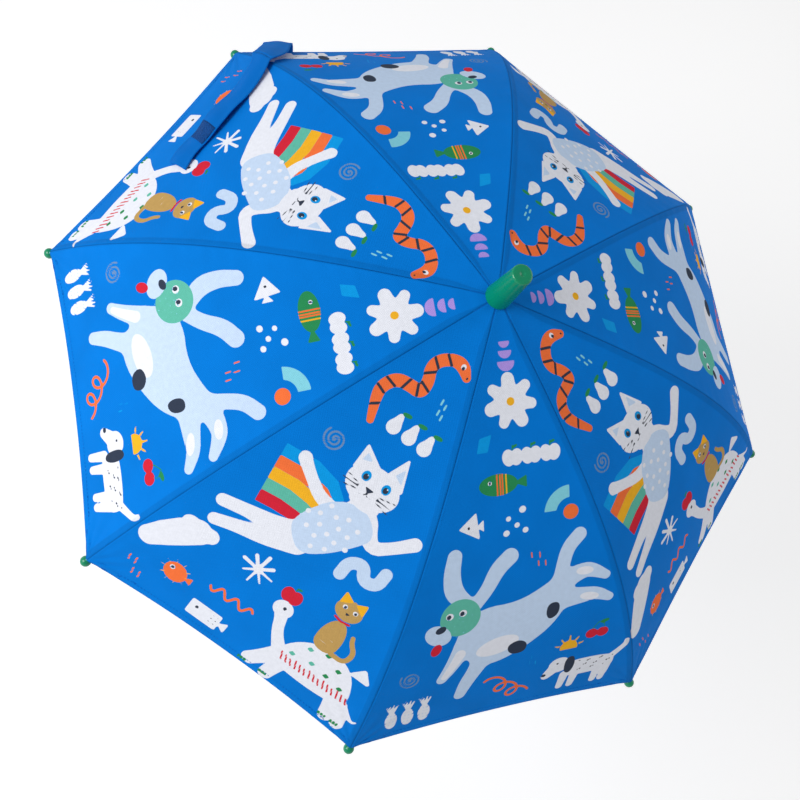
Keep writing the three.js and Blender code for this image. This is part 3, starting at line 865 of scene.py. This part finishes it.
def printed_cloth(name, inks):
    """Blue taffeta with inks, each drawn where its stored distance is positive, and painted shade along the
    seams.
    """
    made, tree, shader = taffeta(name, CLOTH_BLUE, 0.8)
    place, cross, slub = add_weave(tree, shader)
    colour = shade_cloth(tree, linear(CLOTH_BLUE)[:3], place, cross)
    # The stored seam value is painted shade. It darkens the colour over the doubled edge and in the groove.
    doubled = node(tree, "ShaderNodeAttribute", attribute_name="doubled")
    grain = node(tree, "ShaderNodeMath", {0: cross.outputs[0], 1: 0.03}, operation="MULTIPLY")
    worn = node(tree, "ShaderNodeMapRange", {0: slub.outputs[0], 1: 0.3, 2: 0.75, 3: 1.02, 4: 0.94})
    level = node(tree, "ShaderNodeMath", {0: grain.outputs[0], 1: worn.outputs[0]}, operation="ADD")
    for ink in inks:
        field = node(tree, "ShaderNodeAttribute", attribute_name=f"ink_{ink}")
        mask = node(tree, "ShaderNodeMapRange", {0: field.outputs["Fac"], 1: -0.15, 2: 0.15, 3: 0.0, 4: 0.97})
        pigment = {0: linear(INKS[ink])[:3], "Scale": level.outputs[0]}
        wet = node(tree, "ShaderNodeVectorMath", pigment, operation="SCALE")
        layers = {0: mask.outputs[0], 6: colour, 7: wet.outputs[0]}
        colour = node(tree, "ShaderNodeMix", layers, data_type="RGBA").outputs[2]
    light = node(tree, "ShaderNodeMath", {0: 1.0, 1: doubled.outputs["Fac"]}, operation="SUBTRACT")
    under = node(tree, "ShaderNodeVectorMath", {0: colour, "Scale": light.outputs[0]}, operation="SCALE")
    tree.links.new(under.outputs[0], shader.inputs["Base Color"])
    return made


cloth_back = plain_cloth("blue polyester taffeta, inner face", "0563BE", 0.7)
thread = plain_cloth("blue sewing thread", "0A6CC8", 0.5, 0.1)


# %% [markdown]
# Panels are cut by hand from printed cloth, so on each the print sits a few
# millimetres off. PRINT_SHIFT holds how far to the right and down.

# %% Lay the print and sew up the eight panels
PRINT_SHIFT = ((-1.5, -4), (0, 0), (1.5, -2), (2, 5), (5, -2), (1, 3), (1, 1), (1, 3))


def make_panel(number, lay, look):
    mesh, share, down = panel_grid(f"canopy_panel_{number}", COLUMNS, ROWS)
    along = HOLE + (rim_along(share) - HOLE) * down
    half = half_width(along)
    across = crowd_edges(share, half)
    share = across / half
    set_map(mesh, across, along)
    right, down_by = PRINT_SHIFT[number - 1]
    picture = Print(across - right * MM, along - down_by * MM)
    lay(picture)
    for ink in INKS:
        store(mesh, f"ink_{ink}", picture.fields.get(ink, np.full(len(across), NO_INK)))
    # Painted shade along the seams, stored for the material: over the doubled edge and in the groove.
    store(mesh, "doubled", painted_seam_shade(across, along))
    lift = pucker(share, along, half) + sewn_edges(across, along)
    points = on_panel(number, across, along, lift)
    panel = finish_piece(mesh, points, [look, cloth_back])
    turn_outward(mesh)
    wall = panel.modifiers.new("cloth thickness", "SOLIDIFY")
    wall.thickness = THICKNESS
    wall.offset = -1
    wall.material_offset = 1
    wall.material_offset_rim = 0
    return panel


prints = (
    (lay_first_print, "taffeta with the first print"),
    (lay_second_print, "taffeta with the second print"),
)
looks = [printed_cloth(name, list(INKS)) for _, name in prints]
panels = []
for number in range(1, RIBS + 1):
    kind = (number + 1) % 2
    panels.append(make_panel(number, prints[kind][0], looks[kind]))
print(len(panels), "panels of", len(panels[0].data.polygons), "faces")


# %% [markdown]
# When the umbrella closes, each panel has to follow two ribs at once. Here each panel's placement is only
# baked into its mesh.

# %% Bake the panels into place
def bend_between_ribs(piece):
    """Bakes a piece's placement into its mesh; it does not blend it between ribs."""
    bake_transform(piece)


for number, panel in enumerate(panels, 1):
    bend_between_ribs(panel)
    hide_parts(f"gore_{number}")


# %% [markdown]
# Neighbouring panels are sewn right sides together over each rib. From outside
# only a fine groove shows, with a band where the cloth lies double. The panels'
# colour carries painted shade over that band and a painted shadow in the groove.
# From inside the two raw edges show, pressed to one side and overlocked: a doubled
# strip beside the rib with stitches along its edge. Each stitch is a tiny bead.

# %% Seams
STITCH = 3.0 * MM
STITCHES_INSIDE = -0.92 * MM


def beside_seam(rib, offset, along, lift):
    """Points near the seam over a rib, offset to one side of it."""
    half = half_width(along)
    before = on_panel(rib - 1, half + offset, along, lift)
    after = on_panel(rib, -half + offset, along, lift)
    return np.where((np.asarray(offset) < 0)[..., None], before, after)


def ribbon(name, columns, rows, place, looks, thickness):
    """A doubled strip of cloth as a closed mesh. place gives points and a flat map."""
    mesh, share, down = panel_grid(name, columns, rows)
    points, across, along = place((share + 1) / 2, down)
    set_map(mesh, across, along)
    strip = finish_piece(mesh, points, looks)
    bm = bmesh.new()
    bm.from_mesh(mesh)
    bmesh.ops.solidify(bm, geom=bm.faces[:], thickness=thickness)
    bmesh.ops.recalc_face_normals(bm, faces=bm.faces)
    bm.to_mesh(mesh)
    bm.free()
    return strip


def add_stitches(piece, starts, ends, overs, look_index):
    """Beads of thread from starts to ends, joined into a piece's mesh."""
    bm = bmesh.new()
    bm.from_mesh(piece.data)
    for a, b, over in zip(starts, ends, overs):
        a, b, up = Vector(a), Vector(b), Vector(over) - Vector(a)
        run = b - a
        side = up.cross(run).normalized()
        up = run.cross(side).normalized()
        turn = Matrix((run.normalized(), side, up)).transposed().to_4x4()
        size = Matrix.Diagonal((run.length * 0.5, 0.26 * MM, 0.2 * MM, 1))
        place = Matrix.Translation((a + b) / 2) @ turn @ size
        made = bmesh.ops.create_icosphere(bm, subdivisions=1, radius=1, matrix=place)
        for f in {f for v in made["verts"] for f in v.link_faces}:
            f.material_index = look_index
            f.smooth = True
    bm.to_mesh(piece.data)
    bm.free()


def seam_share(along):
    """The seam allowance inside gets narrower towards the apex, where eight of them meet."""
    return np.clip(half_width(along) / (25 * MM), 0.3, 1)


def seam_piece(rib):
    first = HOLE + 14 * MM
    last = CLOTH_END - 6 * MM

    def place(u, v):
        along = first + (last - first) * v
        offset = (6.0 * MM * u - TURNED_UNDER) * seam_share(along)
        ripple = 0.06 * MM * np.sin(along / (2.3 * MM)) * (1 - u)
        return beside_seam(rib, offset, along, -0.45 * MM + ripple - 0.35 * MM * u**6), offset, along

    band = ribbon(f"seam_allowance_{rib}", 6, 150, place, [cloth_back, thread], 0.3 * MM)
    along = np.arange(first + 2 * MM, last - 4 * MM, STITCH)
    width = seam_share(along)
    starts = beside_seam(rib, -5.6 * MM * width, along, STITCHES_INSIDE)
    ends = beside_seam(rib, -4.4 * MM * width, along + STITCH * 0.75, STITCHES_INSIDE)
    overs = beside_seam(rib, -5.6 * MM * width, along, -2 * MM)
    add_stitches(band, starts, ends, overs, 1)
    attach(band, f"rib_{rib}")
    return band


seams = [seam_piece(rib) for rib in range(1, RIBS + 1)]
print(len(seams), "seams")


# %% [markdown]
# A small round patch of cloth lies between the canopy and the steel washer, so
# that the metal doesn't wear the apex through. It lies under the ferrule. When
# the real umbrella closes, its edge goes down with the ribs and it covers the hub;
# here it is fixed in the open shape. It is made of eight wedges, one for each rib.

# %% Apex patch
APEX_PATCH_FROM, APEX_PATCH_TO = 5.5 * MM, 20.5 * MM


def apex_wedge(rib):
    def place(u, v):
        along = APEX_PATCH_FROM + (APEX_PATCH_TO - APEX_PATCH_FROM) * v
        offset = (2 * u - 1) * half_width(along)
        return beside_seam(rib, offset, along, -THICKNESS - 0.12 * MM), offset, along

    wedge = ribbon(f"apex_patch_{rib}", 12, 14, place, [cloth_back], 0.2 * MM)
    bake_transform(wedge)
    return wedge


wedges = [apex_wedge(rib) for rib in range(1, RIBS + 1)]
print(len(wedges), "wedges in the apex patch")


# %% [markdown]
# The hem is turned inside and stitched about six millimetres from the rim. Seen
# from above it is a row of stitches, and from below a folded band. One piece
# holds both for each panel.

# %% Hems
HEM_WIDTH = 7 * MM
HEM_STITCHES = 6 * MM
HEM_REACH = 0.96


def hem_piece(number):
    def place(u, v):
        share = (2 * u - 1) * 0.985
        along = rim_along(share) - HEM_WIDTH * v - 0.1 * MM
        across = share * half_width(along)
        ripple = 0.12 * MM * np.sin(across / (2.1 * MM))
        lift = -THICKNESS - 0.12 * MM + ripple
        return on_panel(number, across, along, lift), across, along

    band = ribbon(f"hem_{number}", 120, 6, place, [cloth_back, thread], 0.3 * MM)
    count = int(2 * half_width(CLOTH_END) * HEM_REACH / STITCH)
    share = np.linspace(-HEM_REACH, HEM_REACH, count)
    along = rim_along(share) - HEM_STITCHES
    width = half_width(along)
    reach = STITCH * 0.72 / width
    for height, above in ((0.2 * MM, 2 * MM), (-0.85 * MM, -2 * MM)):
        starts = on_panel(number, share * width, along, height)
        ends = on_panel(number, (share + reach) * width, along, height)
        add_stitches(band, starts, ends, on_panel(number, share * width, along, above), 1)
    bend_between_ribs(band)
    return band


hems = [hem_piece(number) for number in range(1, RIBS + 1)]
print(len(hems), "hems")


# %% [markdown]
# The green parts are injection-moulded plastic, probably ABS: a strong colour all
# through, a soft gloss, faint flow marks from the mould, and edges that catch the
# light. Noise on object coordinates gives the flow marks and a slightly uneven
# gloss.

# %% Plastic and metal materials
def moulded(name, colour, roughness, grain_mm=1.6, strength=0.06):
    """Injection-moulded plastic with faint flow marks."""
    made, tree, shader = material(name, colour, roughness, IOR=1.5)
    place = node(tree, "ShaderNodeTexCoord").outputs["Object"]
    fine = node(tree, "ShaderNodeTexNoise", {"Vector": place, "Scale": 1 / (grain_mm * MM), "Detail": 3.0})
    broad = node(tree, "ShaderNodeTexNoise", {"Vector": place, "Scale": 60.0, "Detail": 2.0})
    glossy, dull = roughness - 0.05, roughness + 0.07
    rough = node(tree, "ShaderNodeMapRange", {0: broad.outputs[0], 1: 0.3, 2: 0.7, 3: glossy, 4: dull})
    level = node(tree, "ShaderNodeMapRange", {0: fine.outputs[0], 1: 0.2, 2: 0.8, 3: 0.94, 4: 1.05})
    pigment = {0: linear(colour)[:3], "Scale": level.outputs[0]}
    shade = node(tree, "ShaderNodeVectorMath", pigment, operation="SCALE")
    bump = node(tree, "ShaderNodeBump", {"Height": fine.outputs[0], "Strength": strength, "Distance": RELIEF})
    tree.links.new(rough.outputs[0], shader.inputs["Roughness"])
    tree.links.new(shade.outputs[0], shader.inputs["Base Color"])
    tree.links.new(bump.outputs[0], shader.inputs["Normal"])
    return made


def plated(name, colour, roughness, grain_mm, stretch=(1, 1, 1)):
    """Plated steel: a metal with fine marks drawn along its length."""
    made, tree, shader = material(name, colour, roughness, Metallic=1.0)
    place = node(tree, "ShaderNodeTexCoord").outputs["Object"]
    drawn = node(tree, "ShaderNodeMapping", {"Vector": place, "Scale": stretch}).outputs[0]
    marks = node(tree, "ShaderNodeTexNoise", {"Vector": drawn, "Scale": 1 / (grain_mm * MM), "Detail": 4.0})
    glossy, dull = roughness - 0.06, roughness + 0.1
    rough = node(tree, "ShaderNodeMapRange", {0: marks.outputs[0], 1: 0.3, 2: 0.7, 3: glossy, 4: dull})
    bump = node(tree, "ShaderNodeBump", {"Height": marks.outputs[0], "Strength": 0.05, "Distance": 0.1 * MM})
    tree.links.new(rough.outputs[0], shader.inputs["Roughness"])
    tree.links.new(bump.outputs[0], shader.inputs["Normal"])
    return made


green = moulded("green moulded ABS", "038A60", 0.24)
black = moulded("black moulded nylon", "17191C", 0.45, 0.8, 0.12)
chrome = plated("nickel-plated steel tube", "C9CCD0", 0.16, 0.8, (1, 1, 0.05))
zinc = plated("zinc-plated steel channel", "A9AEB4", 0.34, 0.5)

# %% [markdown]
# Round parts are made as on a lathe: a profile from the axis outwards, spun a
# full turn about the shaft. The ferrule is a tapered cap with a rounded end and a
# small dimple where it left the mould.

# %% Turned parts
BORE_R = 4.4 * MM


def spun(name, profile, look, steps, place=Matrix()):
    """A solid of revolution from (radius, height) points in metres, moved to its place."""
    bm = bmesh.new()
    line = [bm.verts.new((r, 0, z)) for r, z in profile]
    edges = [bm.edges.new(pair) for pair in zip(line, line[1:])]
    bmesh.ops.spin(bm, geom=line + edges, cent=(0, 0, 0), axis=(0, 0, 1), angle=2 * math.pi,
                   steps=steps, use_merge=True)
    bmesh.ops.remove_doubles(bm, verts=bm.verts, dist=1e-6)
    bmesh.ops.recalc_face_normals(bm, faces=bm.faces)
    bmesh.ops.transform(bm, matrix=place, verts=bm.verts)
    for face in bm.faces:
        face.smooth = True
    mesh = bpy.data.meshes.new(name)
    bm.to_mesh(mesh)
    bm.free()
    mesh.materials.append(look)
    piece = bpy.data.objects.new(name, mesh)
    bpy.context.collection.objects.link(piece)
    return piece


def ferrule_piece():
    top = ferrule_high[2]
    base = ferrule_low[2]
    wide = (ferrule_high[0] - ferrule_low[0]) / 2
    narrow = 8 * MM
    socket = base + 32 * MM
    shoulder = []
    for k in range(7):
        a = k * math.pi / 12
        shoulder.append((narrow * (0.22 * math.cos(a) + 0.78), top - 1.8 * MM * (1 - math.sin(a))))
    profile = [(0, socket), (BORE_R, socket), (BORE_R, base), (wide - 0.8 * MM, base),
               (wide - 0.2 * MM, base + 0.5 * MM), (wide, base + 1.4 * MM), (wide - 0.15 * MM, base + 3 * MM),
               *shoulder, (2.2 * MM, top), (1.5 * MM, top - 0.5 * MM), (0, top - 0.9 * MM)]
    piece = spun("ferrule_cap", profile, green, 64)
    round_off = piece.modifiers.new("rounded edges", "BEVEL")
    round_off.width = 0.25 * MM
    round_off.segments = 2
    round_off.limit_method = "ANGLE"
    round_off.angle_limit = math.radians(35)
    return piece


cap = ferrule_piece()
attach(cap, "root")
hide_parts("ferrule")
print("ferrule of", len(cap.data.polygons), "faces")

# %% [markdown]
# Each rib ends in a glossy ball. It has a short neck towards the cloth and a hole
# where the rib goes in. On the real umbrella a few turns of thread tie the
# cloth's corner to it, and they are too small to show, so they are left out.

# %% Ball tips
NECK_R = 2.2 * MM
RIB_HOLE_R = 1.9 * MM


def tip_piece(number):
    low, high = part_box(f"tip_{number}")
    centre = Vector([(a + b) / 2 for a, b in zip(low, high)])
    angle = (number - 1) * STEP
    lean = math.atan(float(fall(RADIUS)))
    outward = Vector((math.cos(angle) * math.cos(lean), math.sin(angle) * math.cos(lean), -math.sin(lean)))
    turn = outward.to_track_quat("Z", "Y").to_matrix().to_4x4()
    profile = [(0, 0), (RIB_HOLE_R, 0), (RIB_HOLE_R, -5.6 * MM), (NECK_R, -5.4 * MM)]
    start = math.asin(NECK_R / BALL_R)
    for k in range(21):
        a = start + (math.pi - start) * k / 20
        profile.append((BALL_R * math.sin(a), -BALL_R * math.cos(a)))
    ball = spun(f"ball_tip_{number}", profile, green, 32, Matrix.Translation(centre) @ turn)
    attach(ball, f"rib_{number}")
    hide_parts(f"tip_{number}")
    return ball


balls = [tip_piece(number) for number in range(1, RIBS + 1)]
print(len(balls), "ball tips of", len(balls[0].data.polygons), "faces")

# %% [markdown]
# The tie strap is a doubled strip of the canopy cloth, sewn inside the hem beside
# one rib. It comes out under the rim, folds back over it, crosses the seam and
# lies loosely over the next panel, with a patch of hook tape near its square end.
# Its path is given in millimetres from the seam, down the cloth and above it. The
# strap is cut in two at the seam.

# %% Tie strap
STRAP_RIB = 5
STRAP_WIDTH = 25 * MM
STRAP_PATH = [
    (-33, 358, -1.6), (-39, 370, -1.8), (-44, 380, -0.8), (-46, 384, 3.0), (-45.5, 383, 7.4), (-40, 372, 8.4),
    (-27, 348, 6.8), (-12, 325, 5.6), (4, 309, 5.2), (24, 305, 3.6), (44, 304, 2.4), (62, 303.5, 4.8),
    (82, 303, 5.0), (98, 304, 2.0), (112, 304.5, 2.6), (122, 303, 3.2), (133, 301.5, 1.5),
]
STRAP_THICKNESS = 0.8 * MM
path = np.array(smooth(STRAP_PATH, 3)) * MM
travel = np.concatenate([[0], np.cumsum(np.linalg.norm(np.diff(path, axis=0), axis=1))])
STRAP_LENGTH = float(travel[-1])
turn_at = float(travel[np.argmax(path[:, 1])])
print("strap", round(STRAP_LENGTH, 3), "m long, turning over the rim at", round(turn_at, 3), "m")

# %% [markdown]
# A strap's two long edges run beside its middle line. Where the strap turns back
# over the rim that line reverses, and edges that followed it there would twist.
# So the strap keeps one heading through the turn, and follows its line again
# twenty millimetres past it.

# %% Lay the strap along its path
STRAIGHT_PAST_TURN = 20 * MM
HEADING_REACH = 6 * MM


def strap_line(at, axes):
    """The strap's middle line so far along it: across and along the cloth, and above it."""
    return np.stack([np.interp(at, travel, path[:, k]) for k in range(axes)], -1)


def strap_place(u, v, extra=0.0):
    """Points of the strap, u across it and v along it, both from 0 to 1."""
    at = v * STRAP_LENGTH
    centre = strap_line(at, 3)
    past = np.maximum(at, turn_at + STRAIGHT_PAST_TURN)
    ahead = strap_line(np.minimum(past + HEADING_REACH, STRAP_LENGTH), 2)
    behind = strap_line(past - HEADING_REACH, 2)
    heading = (ahead - behind) / np.linalg.norm(ahead - behind, axis=-1, keepdims=True)
    side = np.stack([-heading[..., 1], heading[..., 0]], -1)
    flat = centre[..., :2] + side * ((u - 0.5) * STRAP_WIDTH)[..., None]
    curl = 0.5 * MM * np.cos(2 * math.pi * (u - 0.5)) + 0.35 * MM * np.sin(30 * v + 4 * u)
    points = beside_seam(STRAP_RIB, flat[..., 0], flat[..., 1], centre[..., 2] + curl + extra)
    return points, (u - 0.5) * STRAP_WIDTH, at


def travel_at(across):
    """How far along itself the strap, past its turn, is so far across the panel."""
    onward = travel > turn_at
    return float(np.interp(across, path[onward, 0], travel[onward]))


def half_of(piece, name, keep):
    """A copy of the strap on one side of the seam plane, keep being 1 or -1."""
    bm = bmesh.new()
    bm.from_mesh(piece.data)
    bmesh.ops.bisect_plane(bm, geom=bm.verts[:] + bm.edges[:] + bm.faces[:], dist=1e-7, plane_co=(0, 0, 0),
                           plane_no=(0, -keep, 0), clear_outer=True)
    rim = [e for e in bm.edges if e.is_boundary]
    bmesh.ops.edgenet_fill(bm, edges=rim)
    bmesh.ops.recalc_face_normals(bm, faces=bm.faces)
    mesh = piece.data.copy()
    bm.to_mesh(mesh)
    bm.free()
    mesh.name = name
    part = bpy.data.objects.new(name, mesh)
    bpy.context.collection.objects.link(part)
    return part


strap_cloth = plain_cloth("blue polyester taffeta, doubled", "006CC6")
whole = ribbon("tie_strap_whole", 14, 200, strap_place, [strap_cloth], STRAP_THICKNESS)
strap_base = half_of(whole, "tie_strap_base", 1)
strap = half_of(whole, "tie_strap_cloth", -1)
bpy.data.objects.remove(whole)
bend_between_ribs(strap_base)
bend_between_ribs(strap)
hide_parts("tie_strap")
print("strap cut into", len(strap_base.data.polygons), "and", len(strap.data.polygons), "faces")

# %% [markdown]
# The hook tape is nylon, woven with rows of tiny stiff hooks. They make it dull
# and rough. A Voronoi pattern of small cells stands for the rows, and its colour
# carries painted shade: darker between the hooks and lighter on them.

# %% Hook tape
HOOK_NAVY = "0C4C94"
HOOK_SPACING = 1.3 * MM
HOOK_TAPE_FROM, HOOK_TAPE_TO = 85 * MM, 104 * MM

hook, hook_tree, hook_shader = material("navy hook tape", HOOK_NAVY, 0.85, Specular_IOR_Level=0.15)
hook_spot = node(hook_tree, "ShaderNodeUVMap").outputs[0]
hooks = node(hook_tree, "ShaderNodeTexVoronoi", {"Vector": hook_spot, "Scale": 1 / HOOK_SPACING}).outputs[0]
hook_bump = node(hook_tree, "ShaderNodeBump", {"Height": hooks, "Strength": 0.9, "Distance": 0.8 * MM})
# Painted shade: darker between the hooks, lighter on their tops.
hook_painted_shade = node(hook_tree, "ShaderNodeMapRange", {0: hooks, 1: 0.0, 2: 0.8, 3: 1.2, 4: 0.65})
hook_pigment = {0: linear(HOOK_NAVY)[:3], "Scale": hook_painted_shade.outputs[0]}
hook_dye = node(hook_tree, "ShaderNodeVectorMath", hook_pigment, operation="SCALE")
hook_tree.links.new(hook_dye.outputs[0], hook_shader.inputs["Base Color"])
hook_tree.links.new(hook_bump.outputs[0], hook_shader.inputs["Normal"])

tape_from = travel_at(HOOK_TAPE_FROM) / STRAP_LENGTH
tape_to = travel_at(HOOK_TAPE_TO) / STRAP_LENGTH


def tape_place(u, v):
    return strap_place(0.06 + 0.88 * u, tape_from + (tape_to - tape_from) * v, 0.75 * MM)


tape = ribbon("hook_tape_patch", 10, 14, tape_place, [hook], 0.5 * MM)
bend_between_ribs(tape)
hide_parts("strap_patch")
print("hook tape", round((tape_to - tape_from) * STRAP_LENGTH, 3), "m long")

# %% [markdown]
# Each half of the strap is printed with its length when laid flat.
# The two halves of the strap share its length, which is divided at the seam.

at_seam = travel_at(0)
for piece, length, lies_on, others in (
    (strap, STRAP_LENGTH - at_seam, panels[STRAP_RIB - 1], [tape]),
    (strap_base, at_seam, panels[STRAP_RIB - 2], []),
):
    print(piece.name, round(length, 3), "m long")

# %% [markdown]
# The handle is a moulded crook. A ring of edges starts at the bottom of the
# shaft's socket and goes up its wall and over the lip. It is then pushed straight
# down for the grip, spun half a turn for the crook and pushed up again for its
# end, which is rounded and closed flat.

# %% Handle
GRIP_R = 9 * MM
CROOK_R = (handle_high[0] - GRIP_R) / 2
GRIP_TOP = handle_high[2]
GRIP_LOW = handle_low[2] + GRIP_R + CROOK_R
CROOK_END = 12 * MM
SOCKET_DEPTH = 42 * MM
LIP_R, LIP = 8.2 * MM, 0.8 * MM
END_ROUND = 2.5 * MM
GRIP_RINGS = 16


def push(bm, edges, offset, grow=1.0, centre=(0, 0)):
    """Extrudes a ring of edges by offset, grows it about centre and gives the new ring."""
    made = bmesh.ops.extrude_edge_only(bm, edges=edges)["geom"]
    verts = [g for g in made if isinstance(g, bmesh.types.BMVert)]
    bmesh.ops.translate(bm, vec=offset, verts=verts)
    if grow != 1.0:
        about = Matrix.Translation((-centre[0], -centre[1], 0))
        bmesh.ops.scale(bm, vec=(grow, grow, 1), space=about, verts=verts)
    new = set(verts)
    return [g for g in made if isinstance(g, bmesh.types.BMEdge) and all(v in new for v in g.verts)]


def handle_piece():
    bm = bmesh.new()
    socket_end = Matrix.Translation((0, 0, GRIP_TOP - SOCKET_DEPTH))
    bmesh.ops.create_circle(bm, cap_ends=True, segments=40, radius=BORE_R, matrix=socket_end)
    ring = push(bm, bm.edges[:], (0, 0, SOCKET_DEPTH))
    ring = push(bm, ring, (0, 0, 0), LIP_R / BORE_R)
    ring = push(bm, ring, (0, 0, -LIP), GRIP_R / LIP_R)
    for _ in range(GRIP_RINGS):
        ring = push(bm, ring, (0, 0, -(GRIP_TOP - LIP - GRIP_LOW) / GRIP_RINGS))
    verts = list({v for e in ring for v in e.verts})
    crook = bmesh.ops.spin(bm, geom=verts + ring, cent=(CROOK_R, 0, GRIP_LOW), axis=(0, 1, 0),
                           angle=-math.pi, steps=40)
    ring = [g for g in crook["geom_last"] if isinstance(g, bmesh.types.BMEdge)]
    ring = push(bm, ring, (0, 0, CROOK_END - END_ROUND))
    size, height = 1.0, 0.0
    for k in range(1, 6):
        a = math.pi / 12 * k
        share = (GRIP_R - END_ROUND + END_ROUND * math.cos(a)) / GRIP_R
        ring = push(bm, ring, (0, 0, END_ROUND * math.sin(a) - height), share / size, (2 * CROOK_R, 0))
        size, height = share, END_ROUND * math.sin(a)
    bmesh.ops.edgenet_fill(bm, edges=ring)
    bmesh.ops.remove_doubles(bm, verts=bm.verts, dist=1e-6)
    bmesh.ops.recalc_face_normals(bm, faces=bm.faces)
    for face in bm.faces:
        face.smooth = len(face.verts) < 10
    mesh = bpy.data.meshes.new("crook_handle")
    bm.to_mesh(mesh)
    bm.free()
    mesh.materials.append(green)
    piece = bpy.data.objects.new("crook_handle", mesh)
    bpy.context.collection.objects.link(piece)
    return piece


handle = handle_piece()
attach(handle, "root")
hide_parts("handle")
print("handle of", len(handle.data.polygons), "faces")

# %% [markdown]
# The shaft, ribs, stretchers, hubs and catches keep the shapes that the design
# gives them. They only get their finishes here: nickel on the shaft, black nylon
# on the crown, the runner and the collar, and zinc on the other steel parts.

# %% Finishes on the metal and black parts
FINISH = {
    "shaft": chrome,
    "crown": black,
    "runner": black,
    "handle_collar": black,
}
for name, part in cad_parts.items():
    if part.hide_render:
        continue
    part.data.materials.clear()
    part.data.materials.append(FINISH.get(name, zinc))
print("finished", sum(not part.hide_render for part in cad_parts.values()), "parts of the frame")
